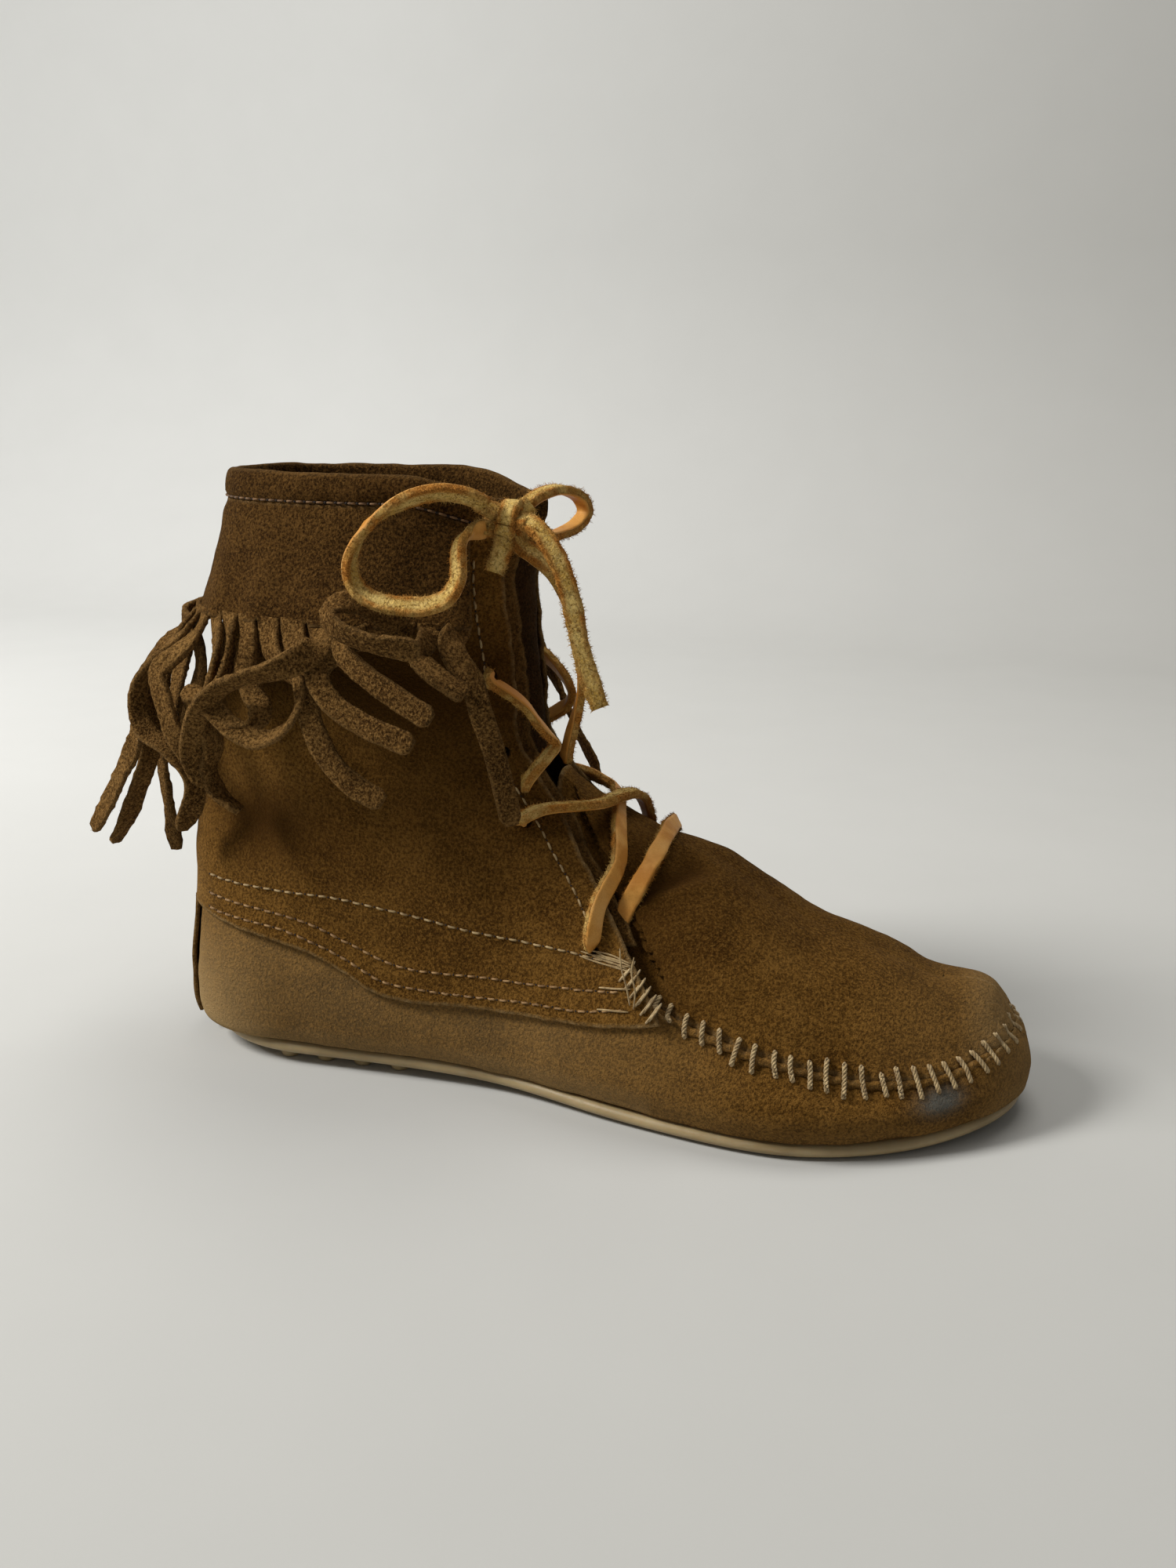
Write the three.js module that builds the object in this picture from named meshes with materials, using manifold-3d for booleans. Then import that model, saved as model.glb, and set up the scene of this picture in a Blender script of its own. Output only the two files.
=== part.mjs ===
// A fringed lace-up ankle moccasin for the right foot, as an assembly of separate leather,
// rubber and lining pieces. Millimetres, +X towards the toe, +Y towards the inner side of the
// foot, +Z up. The drafting origin is on the floor below the inside of the heel.
import * as THREE from 'three';
import { mergeVertices } from 'three/addons/utils/BufferGeometryUtils.js';
import Module from 'manifold-3d';

const wasm = await Module();
wasm.setup();

// ---------------------------------------------------------------- driving dimensions
const LATERAL = -1;
const MEDIAL = 1;
const LEATHER = 1.4;
const LAYER_GAP = 0.5;
const SOLE_THICKNESS = 3.4;
const SOLE_BACK = 2;
const SOLE_FRONT = 250;
const HEEL_RADIUS = 36;
const TOE_LEVEL = 27;
const SHAFT_FROM = 25;
const SHAFT_FULL = 80;
const COLLAR_SEAM = 167.5;
const COLLAR_TOP = 177;
const COLLAR_DIP = 7;
const SKIRT_EDGE = 136.5;
const SKIRT_SPREAD = 0.73;
const COLLAR_SPREAD = 0.83;
const STRAND_COUNT = 32;
const STRAND_WIDTH = 5.8;
const STRAND_THICKNESS = 1.3;
const THONG_WIDTH = 4;
const THONG_THICKNESS = 2.4;
const PAD_CENTRE_X = 178;
const PAD_RADIUS = 10;

// ---------------------------------------------------------------- small maths
const mix = (a, b, t) => a + (b - a) * t;
const clamp01 = (t) => Math.min(1, Math.max(0, t));

function smooth(from, to, x) {
  const t = clamp01((x - from) / (to - from));
  return t * t * (3 - 2 * t);
}

// A smooth line through [input, output] pairs, held level beyond its ends.
function profile(pairs) {
  const last = pairs.length - 1;
  const slope = pairs.map((_, i) => {
    const before = pairs[Math.max(0, i - 1)];
    const after = pairs[Math.min(last, i + 1)];
    return (after[1] - before[1]) / (after[0] - before[0]);
  });
  return (input) => {
    const x = Math.min(pairs[last][0], Math.max(pairs[0][0], input));
    let i = 0;
    while (i < last - 1 && x > pairs[i + 1][0]) i++;
    const span = pairs[i + 1][0] - pairs[i][0];
    const t = (x - pairs[i][0]) / span;
    const t2 = t * t;
    const t3 = t2 * t;
    return (2 * t3 - 3 * t2 + 1) * pairs[i][1] + (t3 - 2 * t2 + t) * span * slope[i]
      + (3 * t2 - 2 * t3) * pairs[i + 1][1] + (t3 - t2) * span * slope[i + 1];
  };
}

// ---------------------------------------------------------------- the shape of the shoe
// Half widths of the foot along its length, on each side.
const FOOT_WIDTH = {
  [LATERAL]: profile([[-2, 30], [30, 31], [75, 31], [105, 33], [140, 42], [172, 48], [200, 48], [250, 44]]),
  [MEDIAL]: profile([[-2, 29], [30, 29.5], [75, 28.5], [105, 30], [140, 37], [172, 45], [200, 47],
  [250, 44]]),
};
const TOE_START = { [LATERAL]: 180, [MEDIAL]: 188 };
const TOE_POWER = { [LATERAL]: 1.9, [MEDIAL]: 2.2 };
// Heights to positions along X: the back of the heel and shaft, and the front of the toe and instep.
const BACK = profile([[3, -3], [8, -5], [20, -5.5], [60, -2.5], [78, 0], [100, 4], [120, 8], [145, 12.5],
  [180, 17]]);
const FRONT = profile([
  [0, 250], [10, 252], [20, 252], [27, 249], [36, 232], [46, 202], [52, 185], [60, 172],
  [72, 149], [80, 131], [92, 117], [100, 112], [140, 108], [180, 108],
]);
const SHAFT_WIDTH = profile([[20, 35], [50, 34], [70, 33], [90, 31.5], [120, 30], [150, 29], [180, 29]]);
const BULGE = profile([[6, 0], [12, 3], [20, 3.8], [30, 3.2], [45, 1], [60, 0]]);
// The open front edge of the quarters, height to X.
const THROAT = profile([[34, 152], [60, 133], [80, 117], [95, 106], [104, 102], [120, 101], [150, 98],
  [168, 101]]);
// Along X: the raw lower edge of the quarters, the top edge of the wrap, the tread and the apron ridge.
const QUARTER_EDGE = profile([[-8, 46], [12, 44], [44, 38.5], [66, 28.5], [92, 28.4], [128, 30.5],
  [152, 35]]);
const WRAP_EDGE = profile([[-8, 54], [40, 48], [65, 37], [110, 37], [135, 40], [146, 38.5], [156, 33.3],
  [165, 30.5], [175, 27], [194, 22.2], [204, 19.8], [220, 18.9], [229, 19.6], [236, 21.5], [242, 24],
  [247, 26.5]]);
const TREAD = profile([[-3, 3.6], [80, 3.2], [125, 1.4], [150, 0.8], [215, 0.8], [250, 3.6]]);
const RIDGE = profile([[113, 92], [121, 85], [139, 75], [155, 70], [172, 60], [185, 52], [202, 46],
  [221, 40],
  [235, 35], [247, 27]]);
// The hand-sewn seam: its half width on each side, ending in a rounded toe.
const SEAM_END = 247;
const SEAM_WIDTH = {
  [LATERAL]: profile([[150, 41], [165, 43], [180, 43.4], [200, 42]]),
  [MEDIAL]: profile([[150, 36], [172, 39], [200, 40.5]]),
};

function planWidth(side, x, back, front, width) {
  const heel = clamp01((back + HEEL_RADIUS - x) / HEEL_RADIUS);
  const toe = clamp01((x - TOE_START[side]) / (front - TOE_START[side]));
  const power = TOE_POWER[side];
  return width * (1 - heel ** 2.3) ** (1 / 2.3) * (1 - toe ** power) ** (1 / power);
}

function footWidth(side, x, z) {
  const front = FRONT(Math.min(z, TOE_LEVEL));
  return planWidth(side, x, BACK(z), front, FOOT_WIDTH[side](x) + BULGE(z));
}

const shaftPower = (behind) => (behind ? 2.4 : 1.7);

function shaftHalf(x, z) {
  const centre = (BACK(z) + FRONT(z)) / 2;
  const power = shaftPower(x < centre);
  const reach = clamp01(Math.abs(x - centre) / ((FRONT(z) - BACK(z)) / 2));
  return SHAFT_WIDTH(z) * (1 - reach ** power) ** (1 / power);
}

// Half width of the upper at any place along X and any height.
function wallWidth(side, x, z) {
  return mix(footWidth(side, x, z), shaftHalf(x, z), smooth(SHAFT_FROM, SHAFT_FULL, z));
}

// A point of the ankle shaft: turn runs from 0 at the back to 1 or -1 at the front.
function shaftPoint(turn, z) {
  const angle = Math.PI * Math.abs(turn);
  const cosine = Math.cos(angle);
  const power = 2 / shaftPower(cosine > 0);
  const centre = (BACK(z) + FRONT(z)) / 2;
  const x = centre - (FRONT(z) - centre) * Math.sign(cosine) * Math.abs(cosine) ** power;
  const y = Math.sign(turn) * SHAFT_WIDTH(z) * Math.sin(angle) ** power;
  return new THREE.Vector3(x, y, z);
}

// The directions along the shaft (towards the toe on either side) and straight out of it.
function shaftDirections(turn, z) {
  const side = Math.sign(turn) || 1;
  const forward = shaftPoint(turn + 0.01 * side, z).sub(shaftPoint(turn - 0.01 * side, z)).normalize();
  const out = new THREE.Vector3(forward.y, -forward.x, 0).multiplyScalar(-side);
  return { forward, out };
}

// The collar dips towards the throat, so its height falls away at the front.
const collarDrop = (x) => COLLAR_DIP * smooth(72, 104, x);
const bedHeight = (x) => TREAD(x) + SOLE_THICKNESS + 0.4;
const seamHalf = (side, x) => {
  const toe = clamp01((x - TOE_START[side]) / (SEAM_END - TOE_START[side]));
  return SEAM_WIDTH[side](x) * (1 - toe ** TOE_POWER[side]) ** (1 / TOE_POWER[side]);
};

// ---------------------------------------------------------------- building solids
// An open surface over a grid, front face outwards when columns run right and rows run up.
function surface(point, columns, rows, reversed = false) {
  const points = [];
  const faces = [];
  for (let i = 0; i <= columns; i++) {
    for (let j = 0; j <= rows; j++) points.push(point(i / columns, j / rows));
  }
  const at = (i, j) => i * (rows + 1) + j;
  for (let i = 0; i < columns; i++) {
    for (let j = 0; j < rows; j++) {
      const quad = [at(i, j), at(i + 1, j), at(i + 1, j + 1), at(i, j + 1)];
      if (reversed) quad.reverse();
      faces.push([quad[0], quad[1], quad[2]], [quad[0], quad[2], quad[3]]);
    }
  }
  return { points, faces };
}

// Joins surfaces where their points coincide and drops the faces that collapse.
function weld(...surfaces) {
  const points = [];
  const faces = [];
  const known = new Map();
  for (const part of surfaces) {
    const index = part.points.map((p) => {
      const key = [p.x, p.y, p.z].map((c) => Math.round(c * 500)).join();
      if (!known.has(key)) {
        known.set(key, points.length);
        points.push(p.clone());
      }
      return known.get(key);
    });
    for (const face of part.faces) {
      const [a, b, c] = face.map((i) => index[i]);
      if (a !== b && b !== c && c !== a) faces.push([a, b, c]);
    }
  }
  return { points, faces };
}

function pointNormals({ points, faces }) {
  const normals = points.map(() => new THREE.Vector3());
  for (const [a, b, c] of faces) {
    const ab = points[b].clone().sub(points[a]);
    const ac = points[c].clone().sub(points[a]);
    const normal = ab.cross(ac);
    for (const i of [a, b, c]) normals[i].add(normal);
  }
  return normals.map((n) => n.normalize());
}

// A sheet of leather: its outer face stands proud of the surface by offset.
function thicken(open, offset, thickness = LEATHER) {
  const normals = pointNormals(open);
  const count = open.points.length;
  const shifted = (distance) => open.points.map((p, i) => p.clone().addScaledVector(normals[i], distance));
  const points = [...shifted(offset), ...shifted(offset - thickness)];
  const faces = [...open.faces, ...open.faces.map(([a, b, c]) => [c + count, b + count, a + count])];
  const edges = new Set();
  for (const [a, b, c] of open.faces) {
    for (const [from, to] of [[a, b], [b, c], [c, a]]) edges.add(`${from},${to}`);
  }
  for (const edge of edges) {
    const [a, b] = edge.split(',').map(Number);
    if (edges.has(`${b},${a}`)) continue;
    faces.push([b, a, a + count], [b, a + count, b + count]);
  }
  return { points, faces };
}

function geometryOf({ points, faces }) {
  const geometry = new THREE.BufferGeometry();
  geometry.setAttribute('position', new THREE.Float32BufferAttribute(points.flatMap((p) => p.toArray()), 3));
  geometry.setIndex(faces.flat());
  geometry.computeVertexNormals();
  return geometry;
}

function manifoldOf(geometry) {
  const bare = geometry.clone();
  bare.deleteAttribute('normal');
  bare.deleteAttribute('uv');
  const merged = mergeVertices(bare, 1e-3);
  const vertProperties = new Float32Array(merged.attributes.position.array);
  const triVerts = new Uint32Array(merged.index.array);
  return new wasm.Manifold(new wasm.Mesh({ numProp: 3, vertProperties, triVerts }));
}

function geometryFrom(manifold) {
  const { vertProperties, triVerts } = manifold.getMesh();
  const geometry = new THREE.BufferGeometry();
  geometry.setAttribute('position', new THREE.BufferAttribute(vertProperties, 3));
  geometry.setIndex(new THREE.BufferAttribute(triVerts, 1));
  geometry.computeVertexNormals();
  return geometry;
}

// A flat strip swept along points, lying flat across the matching faces-out directions.
function strip(points, outs, width, thickness) {
  const corners = [[-0.5, 0.5], [0.5, 0.5], [0.5, -0.5], [-0.5, -0.5]];
  const rings = points.map((p, i) => {
    const ahead = points[Math.min(i + 1, points.length - 1)];
    const behind = points[Math.max(i - 1, 0)];
    const along = ahead.clone().sub(behind).normalize();
    const across = outs[i].clone().cross(along).normalize();
    const face = along.clone().cross(across).normalize();
    return corners.map(([w, t]) => p.clone()
      .addScaledVector(across, w * width)
      .addScaledVector(face, t * thickness));
  });
  const solid = { points: rings.flat(), faces: [] };
  const sides = corners.length;
  for (let i = 0; i < rings.length - 1; i++) {
    for (let k = 0; k < sides; k++) {
      const a = i * sides + k;
      const b = i * sides + ((k + 1) % sides);
      solid.faces.push([a, a + sides, b + sides], [a, b + sides, b]);
    }
  }
  const end = (rings.length - 1) * sides;
  solid.faces.push([0, 1, 2], [0, 2, 3], [end, end + 2, end + 1], [end, end + 3, end + 2]);
  return solid;
}

// A curve whose section keeps its flat face turned away from a centre.
class FlatRoute extends THREE.CatmullRomCurve3 {
  constructor(points, centre) {
    super(points.map((p) => new THREE.Vector3(...p)), false, 'centripetal');
    this.centre = new THREE.Vector3(...centre);
  }

  computeFrenetFrames(segments) {
    const frames = { tangents: [], normals: [], binormals: [] };
    for (let i = 0; i <= segments; i++) {
      const tangent = this.getTangentAt(i / segments);
      const out = this.getPointAt(i / segments).sub(this.centre);
      const binormal = tangent.clone().cross(out).normalize();
      frames.tangents.push(tangent);
      frames.normals.push(binormal.clone().cross(tangent));
      frames.binormals.push(binormal);
    }
    return frames;
  }
}

// A rawhide thong: a flat eight-sided section swept through points.
function thong(points, steps, centre) {
  const x = THONG_THICKNESS / 2;
  const y = THONG_WIDTH / 2;
  const chamfer = 0.7;
  const corners = [
    [x, y - chamfer], [x - chamfer, y], [chamfer - x, y], [-x, y - chamfer],
    [-x, chamfer - y], [chamfer - x, -y], [x - chamfer, -y], [x, chamfer - y],
  ];
  const section = new THREE.Shape(corners.map(([a, b]) => new THREE.Vector2(a, b)));
  const route = new FlatRoute(points, centre);
  return new THREE.ExtrudeGeometry(section, { steps, bevelEnabled: false, extrudePath: route });
}

// ---------------------------------------------------------------- materials
const finish = (color, roughness) => new THREE.MeshStandardMaterial({ color, roughness, metalness: 0 });
const SUEDE = finish(0x6b4423, 0.95);
const SUEDE_DARK = finish(0x5a3a1e, 0.95);
const RAWHIDE = finish(0xb9783a, 0.7);
const RUBBER = finish(0x9a6b34, 0.55);
const FOAM = finish(0xc9b48c, 0.9);
const SOCK = finish(0x8a6a45, 0.9);
const BOARD = finish(0xa58a63, 0.85);

const moccasin = new THREE.Group();

function add(name, geometry, material) {
  const mesh = new THREE.Mesh(geometry, material);
  mesh.name = name;
  moccasin.add(mesh);
}

// ---------------------------------------------------------------- sole
// A closed flat layer over the foot's plan: its edge is listed from the top to the bottom.
function footLayer(edge, topHeight, bottomHeight, back, front, columns = 26) {
  const half = (side) => surface((u, v) => {
    const x = mix(back, front, (1 - Math.cos(Math.PI * u)) / 2);
    const row = Math.round(v * (edge.length + 1));
    const top = topHeight(x);
    const bottom = bottomHeight(x);
    const [inset, level] = edge[Math.min(edge.length, Math.max(1, row)) - 1];
    const centre = (back + front) / 2;
    const pulled = centre + (x - centre) * (1 - inset / (front - centre));
    if (row === 0) return new THREE.Vector3(pulled, 0, top);
    if (row > edge.length) return new THREE.Vector3(pulled, 0, bottom);
    const width = planWidth(side, x, back, front, FOOT_WIDTH[side](x) - inset);
    return new THREE.Vector3(pulled, side * width, mix(bottom, top, level));
  }, columns, edge.length + 1, side === LATERAL);
  return weld(half(LATERAL), half(MEDIAL));
}

function soleNubs() {
  const nubs = [];
  const radius = 3.2;
  const pitch = 12;
  const margin = 5;
  for (let x = 8; x < 232; x += pitch) {
    if (x > 76 && x < 116) continue;
    for (let row = -3; row <= 3; row++) {
      const y = row * pitch;
      const side = y < 0 ? LATERAL : MEDIAL;
      const room = planWidth(side, x, SOLE_BACK, SOLE_FRONT, FOOT_WIDTH[side](x)) - margin;
      if (Math.abs(y) > room) continue;
      if (Math.hypot(x - PAD_CENTRE_X, y) < PAD_RADIUS + radius + 1) continue;
      nubs.push({ x, y, radius, sides: 6 });
    }
  }
  return nubs;
}

function outsole() {
  const plate = footLayer([[0, 1], [0.4, 0.45], [3, 0]], (x) => TREAD(x) + SOLE_THICKNESS, TREAD,
    SOLE_BACK, SOLE_FRONT);
  let solid = manifoldOf(geometryOf(plate));
  const pad = { x: PAD_CENTRE_X, y: 0, radius: PAD_RADIUS, sides: 16 };
  for (const { x, y, radius, sides } of [pad, ...soleNubs()]) {
    const height = TREAD(x) + 1;
    const nub = new THREE.CylinderGeometry(radius + 0.4, radius, height, sides);
    nub.rotateX(Math.PI / 2).translate(x, y, height / 2);
    solid = solid.add(manifoldOf(nub));
  }
  return geometryFrom(solid);
}

function insoleLayer(height, thickness, inset) {
  const bottom = (x) => bedHeight(x) + LEATHER + height;
  const layer = footLayer([[inset, 1], [inset, 0]],
    (x) => bottom(x) + thickness, bottom, SOLE_BACK, SOLE_FRONT);
  return geometryOf(layer);
}

add('outsole', outsole(), RUBBER);
add('insole_cushion', insoleLayer(1.1, 2.1, 7), FOAM);
add('sock_lining', insoleLayer(3.6, 0.9, 4.5), SOCK);

// ---------------------------------------------------------------- lower upper: wrap and heel
const alongFoot = (u, z, front) => mix(BACK(z), front, (1 - Math.cos(Math.PI * u)) / 2);

// A point of the lower wall: rise is 0 at the sole and 1 at the wrap's top edge.
function wrapWall(side, u, rise) {
  const edgeX = alongFoot(u, 40, SEAM_END);
  const top = WRAP_EDGE(edgeX);
  const low = bedHeight(edgeX) + 2.5;
  const z = mix(low, top, rise);
  const x = alongFoot(u, z, FRONT(Math.min(z, TOE_LEVEL)));
  const point = new THREE.Vector3(x, side * wallWidth(side, x, z), z);
  const sewn = smooth(146, 160, edgeX);
  const topX = alongFoot(u, top, FRONT(Math.min(top, TOE_LEVEL)));
  const turn = sewn * rise ** 3;
  point.x += turn * (edgeX - topX);
  point.y += turn * side * (seamHalf(side, edgeX) - wallWidth(side, topX, top));
  return point;
}

function vampWrap() {
  const floorRows = 2;
  const wallRows = 6;
  const half = (side) => surface((u, v) => {
    const row = Math.round(v * (floorRows + 1 + wallRows));
    if (row > floorRows) return wrapWall(side, u, (row - floorRows - 1) / wallRows);
    const foot = wrapWall(side, u, 0);
    const pull = 0.965;
    const x = 120 + (foot.x - 120) * pull;
    return new THREE.Vector3(x, foot.y * 0.92 * (row / floorRows), bedHeight(x));
  }, 26, floorRows + 1 + wallRows, side === MEDIAL);
  return geometryOf(thicken(weld(half(LATERAL), half(MEDIAL)), 0));
}

// A band that follows the inside or outside of the heel, the same on both sides.
function heelBand(reach, low, high, offset, thickness, columns) {
  const half = (side) => surface((u, v) => {
    const z = mix(low, high(u), v);
    const x = alongFoot(u * reach, z, FRONT(Math.min(z, TOE_LEVEL)));
    return new THREE.Vector3(x, side * wallWidth(side, x, z), z);
  }, columns, 5, side === MEDIAL);
  return geometryOf(thicken(weld(half(LATERAL), half(MEDIAL)), offset, thickness));
}

add('vamp_wrap', vampWrap(), SUEDE);
add('heel_counter', heelBand(0.26, 15, (u) => 50 - 12 * u * u, -LEATHER - LAYER_GAP, 1.2, 8), BOARD);
add('heel_lining', heelBand(0.27, 14, (u) => 56 - 14 * u * u, -2 * LEATHER - 3 * LAYER_GAP, 0.8, 8), SOCK);
add('heel_tab', heelBand(0.07, 7, () => 42, LEATHER + LAYER_GAP, LEATHER, 3), SUEDE_DARK);

// ---------------------------------------------------------------- quarters, facings
const quarterX = (u, z) => mix(BACK(z), THROAT(z), 1 - Math.cos((Math.PI / 2) * u));

function quarter(side) {
  const start = 0.012;
  const open = surface((u, v) => {
    const along = mix(start, 1, u);
    const low = QUARTER_EDGE(quarterX(along, 40));
    const z = mix(low, COLLAR_SEAM - collarDrop(quarterX(along, COLLAR_SEAM)), v);
    const x = quarterX(along, z);
    const seamGap = 0.35;
    return new THREE.Vector3(x, side * Math.max(seamGap, wallWidth(side, x, z)), z);
  }, 16, 14, side === MEDIAL);
  return geometryOf(thicken(weld(open), LEATHER + LAYER_GAP));
}

function facing(side) {
  const behind = 9;
  const ahead = 3.5;
  const low = 52;
  const open = surface((u, v) => {
    const z = mix(low, COLLAR_SEAM - COLLAR_DIP - 0.5, v);
    const x = THROAT(z) + mix(-behind, ahead, u);
    return new THREE.Vector3(x, side * wallWidth(side, x, z), z);
  }, 3, 14, side === MEDIAL);
  return geometryOf(thicken(weld(open), -LAYER_GAP, 1.2));
}

add('quarter_lateral', quarter(LATERAL), SUEDE);
add('quarter_medial', quarter(MEDIAL), SUEDE);
add('facing_lateral', facing(LATERAL), SUEDE_DARK);
add('facing_medial', facing(MEDIAL), SUEDE_DARK);

// ---------------------------------------------------------------- apron and tongue
const APRON_BACK = 113;
const RIDGE_END = 226;
const FACING_ROOM = 4.2;
const APRON_EDGE = profile([[113, 79], [124, 65], [136, 51], [147, 38.5], [156, 34], [165, 31.2],
  [175, 27.8],
  [194, 23], [204, 20.6], [220, 19.7], [229, 20.4], [236, 22.3], [242, 24.8], [245, 26.5]]);

function apronEdge(side, u) {
  const end = SEAM_END - 2;
  const x = mix(APRON_BACK, end, Math.sin((Math.PI / 2) * u));
  const z = APRON_EDGE(x);
  const under = wallWidth(side, x, z) - FACING_ROOM;
  const sewn = Math.max(0, seamHalf(side, x + 2) - 1.8);
  const closed = u > 0.999 ? 0 : mix(under, sewn, smooth(146, 160, x));
  return new THREE.Vector3(x, side * closed, z);
}

// Across runs from -1 at the lateral seam over the ridge to 1 at the medial seam.
function apronPoint(u, across) {
  const side = across < 0 ? LATERAL : MEDIAL;
  const edge = apronEdge(side, u);
  const share = Math.abs(across);
  const span = SEAM_END - 2 - APRON_BACK;
  const ridgeX = mix(APRON_BACK, RIDGE_END, (edge.x - APRON_BACK) / span);
  const x = mix(ridgeX, edge.x, share);
  const dome = (1 - share ** 2.2) ** 0.75;
  const z = mix(edge.z, RIDGE(ridgeX), dome);
  let y = share * Math.abs(edge.y);
  if (z < 96 && x < THROAT(z) + 6) y = Math.min(y, wallWidth(side, x, z) - FACING_ROOM);
  return new THREE.Vector3(x, side * y, z);
}

function apron() {
  const open = surface((u, v) => apronPoint(u, mix(-1, 1, v)), 18, 14);
  return geometryOf(thicken(weld(open), 0));
}

const TONGUE_TOP = 158;
const TONGUE_HALF = 23;

function tongue() {
  const inset = 4.2;
  const open = surface((u, v) => {
    const y = mix(-TONGUE_HALF, TONGUE_HALF, v);
    const low = 96 - 13 * (y / 19) ** 2;
    const z = mix(low, TONGUE_TOP, u);
    const centre = (BACK(z) + FRONT(z)) / 2;
    const share = Math.abs(y) / (SHAFT_WIDTH(z) - 1);
    const x = centre + (FRONT(z) - centre) * (1 - share ** 1.7) ** (1 / 1.7) - inset;
    return new THREE.Vector3(x, y, z);
  }, 9, 8, true);
  return geometryOf(thicken(weld(open), 0));
}

add('apron', apron(), SUEDE);
add('tongue', tongue(), SUEDE);

// ---------------------------------------------------------------- collar and fringe
function aroundShaft(spread, low, high, offset, columns, rows) {
  return surface((u, v) => {
    const turn = mix(-spread, spread, u);
    const z = mix(low, high, v);
    const { out } = shaftDirections(turn === 0 ? 1e-4 : turn, z);
    return shaftPoint(turn, z).addScaledVector(out, offset(z));
  }, columns, rows, true);
}

const skirtOffset = (z) => 3.8 + 6 * clamp01((COLLAR_SEAM - z) / (COLLAR_SEAM - SKIRT_EDGE)) ** 1.5;

function collarBand() {
  const height = COLLAR_TOP - COLLAR_SEAM;
  const band = aroundShaft(COLLAR_SPREAD, COLLAR_SEAM + 0.6, COLLAR_TOP, (z) => {
    const fromMiddle = (z - COLLAR_SEAM - height / 2) / (height / 2);
    return 3 - 1.2 * fromMiddle ** 2;
  }, 26, 4);
  for (const p of band.points) p.z -= collarDrop(p.x);
  return geometryOf(thicken(weld(band), 0, 3.6));
}

function fringeSkirt() {
  const open = aroundShaft(SKIRT_SPREAD, SKIRT_EDGE, COLLAR_SEAM - LAYER_GAP, skirtOffset, 26, 5);
  for (const p of open.points) {
    const rise = (p.z - SKIRT_EDGE) / (COLLAR_SEAM - SKIRT_EDGE);
    p.z -= collarDrop(p.x) * rise;
  }
  return geometryOf(thicken(weld(open), 0, STRAND_THICKNESS));
}

// Each strand from the lateral front round the back to the medial front: how far it sweeps
// towards the toe and how far it lifts off the shoe, in degrees, and its length.
const STRANDS = [
  [27, 4, 62], [24, 6, 56], [28, 10, 50], [84, 34, 46], [60, 30, 50], [44, 26, 52], [30, 24, 56],
  [10, 22, 56],
  [-6, 20, 58], [-20, 22, 60], [-26, 16, 62], [-22, 27, 62], [-17, 40, 64], [-8, 24, 74], [-4, 34, 76],
  [0, 24, 80],
  [0, 36, 78], [6, 26, 80], [10, 36, 74], [10, 24, 66], [8, 30, 62], [4, 20, 62], [0, 24, 60], [-6, 18, 62],
  [-2, 22, 60], [4, 16, 62], [2, 20, 60], [8, 14, 62], [6, 18, 60], [12, 12, 62], [14, 14, 60], [20, 8, 62],
];

function strandTurn(index) {
  const margin = 0.5 / STRAND_COUNT;
  return mix(-SKIRT_SPREAD, SKIRT_SPREAD, margin + (index / STRAND_COUNT));
}

function fringeStrand(index) {
  const [sweep, lift, length] = STRANDS[index];
  const turn = strandTurn(index);
  const { forward, out } = shaftDirections(turn, SKIRT_EDGE);
  const down = new THREE.Vector3(0, 0, -1);
  const steps = 9;
  const gap = 0.6;
  const middle = skirtOffset(SKIRT_EDGE) - STRAND_THICKNESS / 2;
  const at = shaftPoint(turn, SKIRT_EDGE - gap).addScaledVector(out, middle);
  const points = [at.clone()];
  const outs = [out.clone()];
  for (let k = 0; k < steps; k++) {
    const bend = smooth(0, 0.45, (k + 0.5) / steps);
    const swept = THREE.MathUtils.degToRad(sweep * bend);
    const lifted = THREE.MathUtils.degToRad(mix(22, lift, bend));
    const level = down.clone().multiplyScalar(Math.cos(swept)).addScaledVector(forward, Math.sin(swept));
    const heading = level.multiplyScalar(Math.cos(lifted)).addScaledVector(out, Math.sin(lifted));
    at.addScaledVector(heading, length / steps);
    points.push(at.clone());
    outs.push(out.clone());
  }
  return geometryOf(strip(points, outs, STRAND_WIDTH, STRAND_THICKNESS));
}

add('collar_band', collarBand(), SUEDE);
add('fringe_skirt', fringeSkirt(), SUEDE);
for (let index = 0; index < STRAND_COUNT; index++) {
  add(`fringe_strand_${String(index + 1).padStart(2, '0')}`, fringeStrand(index), SUEDE);
}

// ---------------------------------------------------------------- rawhide lace
// Places on the outside of the quarters and on the apron, lifted clear of the leather.
function onQuarter(side, x, z, lift = 4.9) {
  return [x, side * (wallWidth(side, x, z) + lift), z];
}

function onApron(u, across, lift = 1.9) {
  const step = 0.01;
  const here = apronPoint(u, across);
  const along = apronPoint(u + step, across).sub(here);
  const over = apronPoint(u, across + step).sub(here);
  return here.addScaledVector(along.cross(over).normalize(), lift).toArray();
}

// The cross from a low hole on one side over the ridge to the next hole up on the other.
function laceCross(low, ridgeLift) {
  const high = -low;
  return [
    onQuarter(low, 130.5, 54), onQuarter(low, 131, 62, 5), onApron(0.106, low * 0.7, 3.4),
    onApron(0.098, low * 0.42, 2 + ridgeLift), onApron(0.09, low * 0.12, 1.9 + ridgeLift),
    onApron(0.078, high * 0.18, 2 + ridgeLift), onApron(0.055, high * 0.5, 3.4 + ridgeLift),
    onQuarter(high, 111.5, 85, 6), onQuarter(high, 106, 83),
  ];
}

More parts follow.
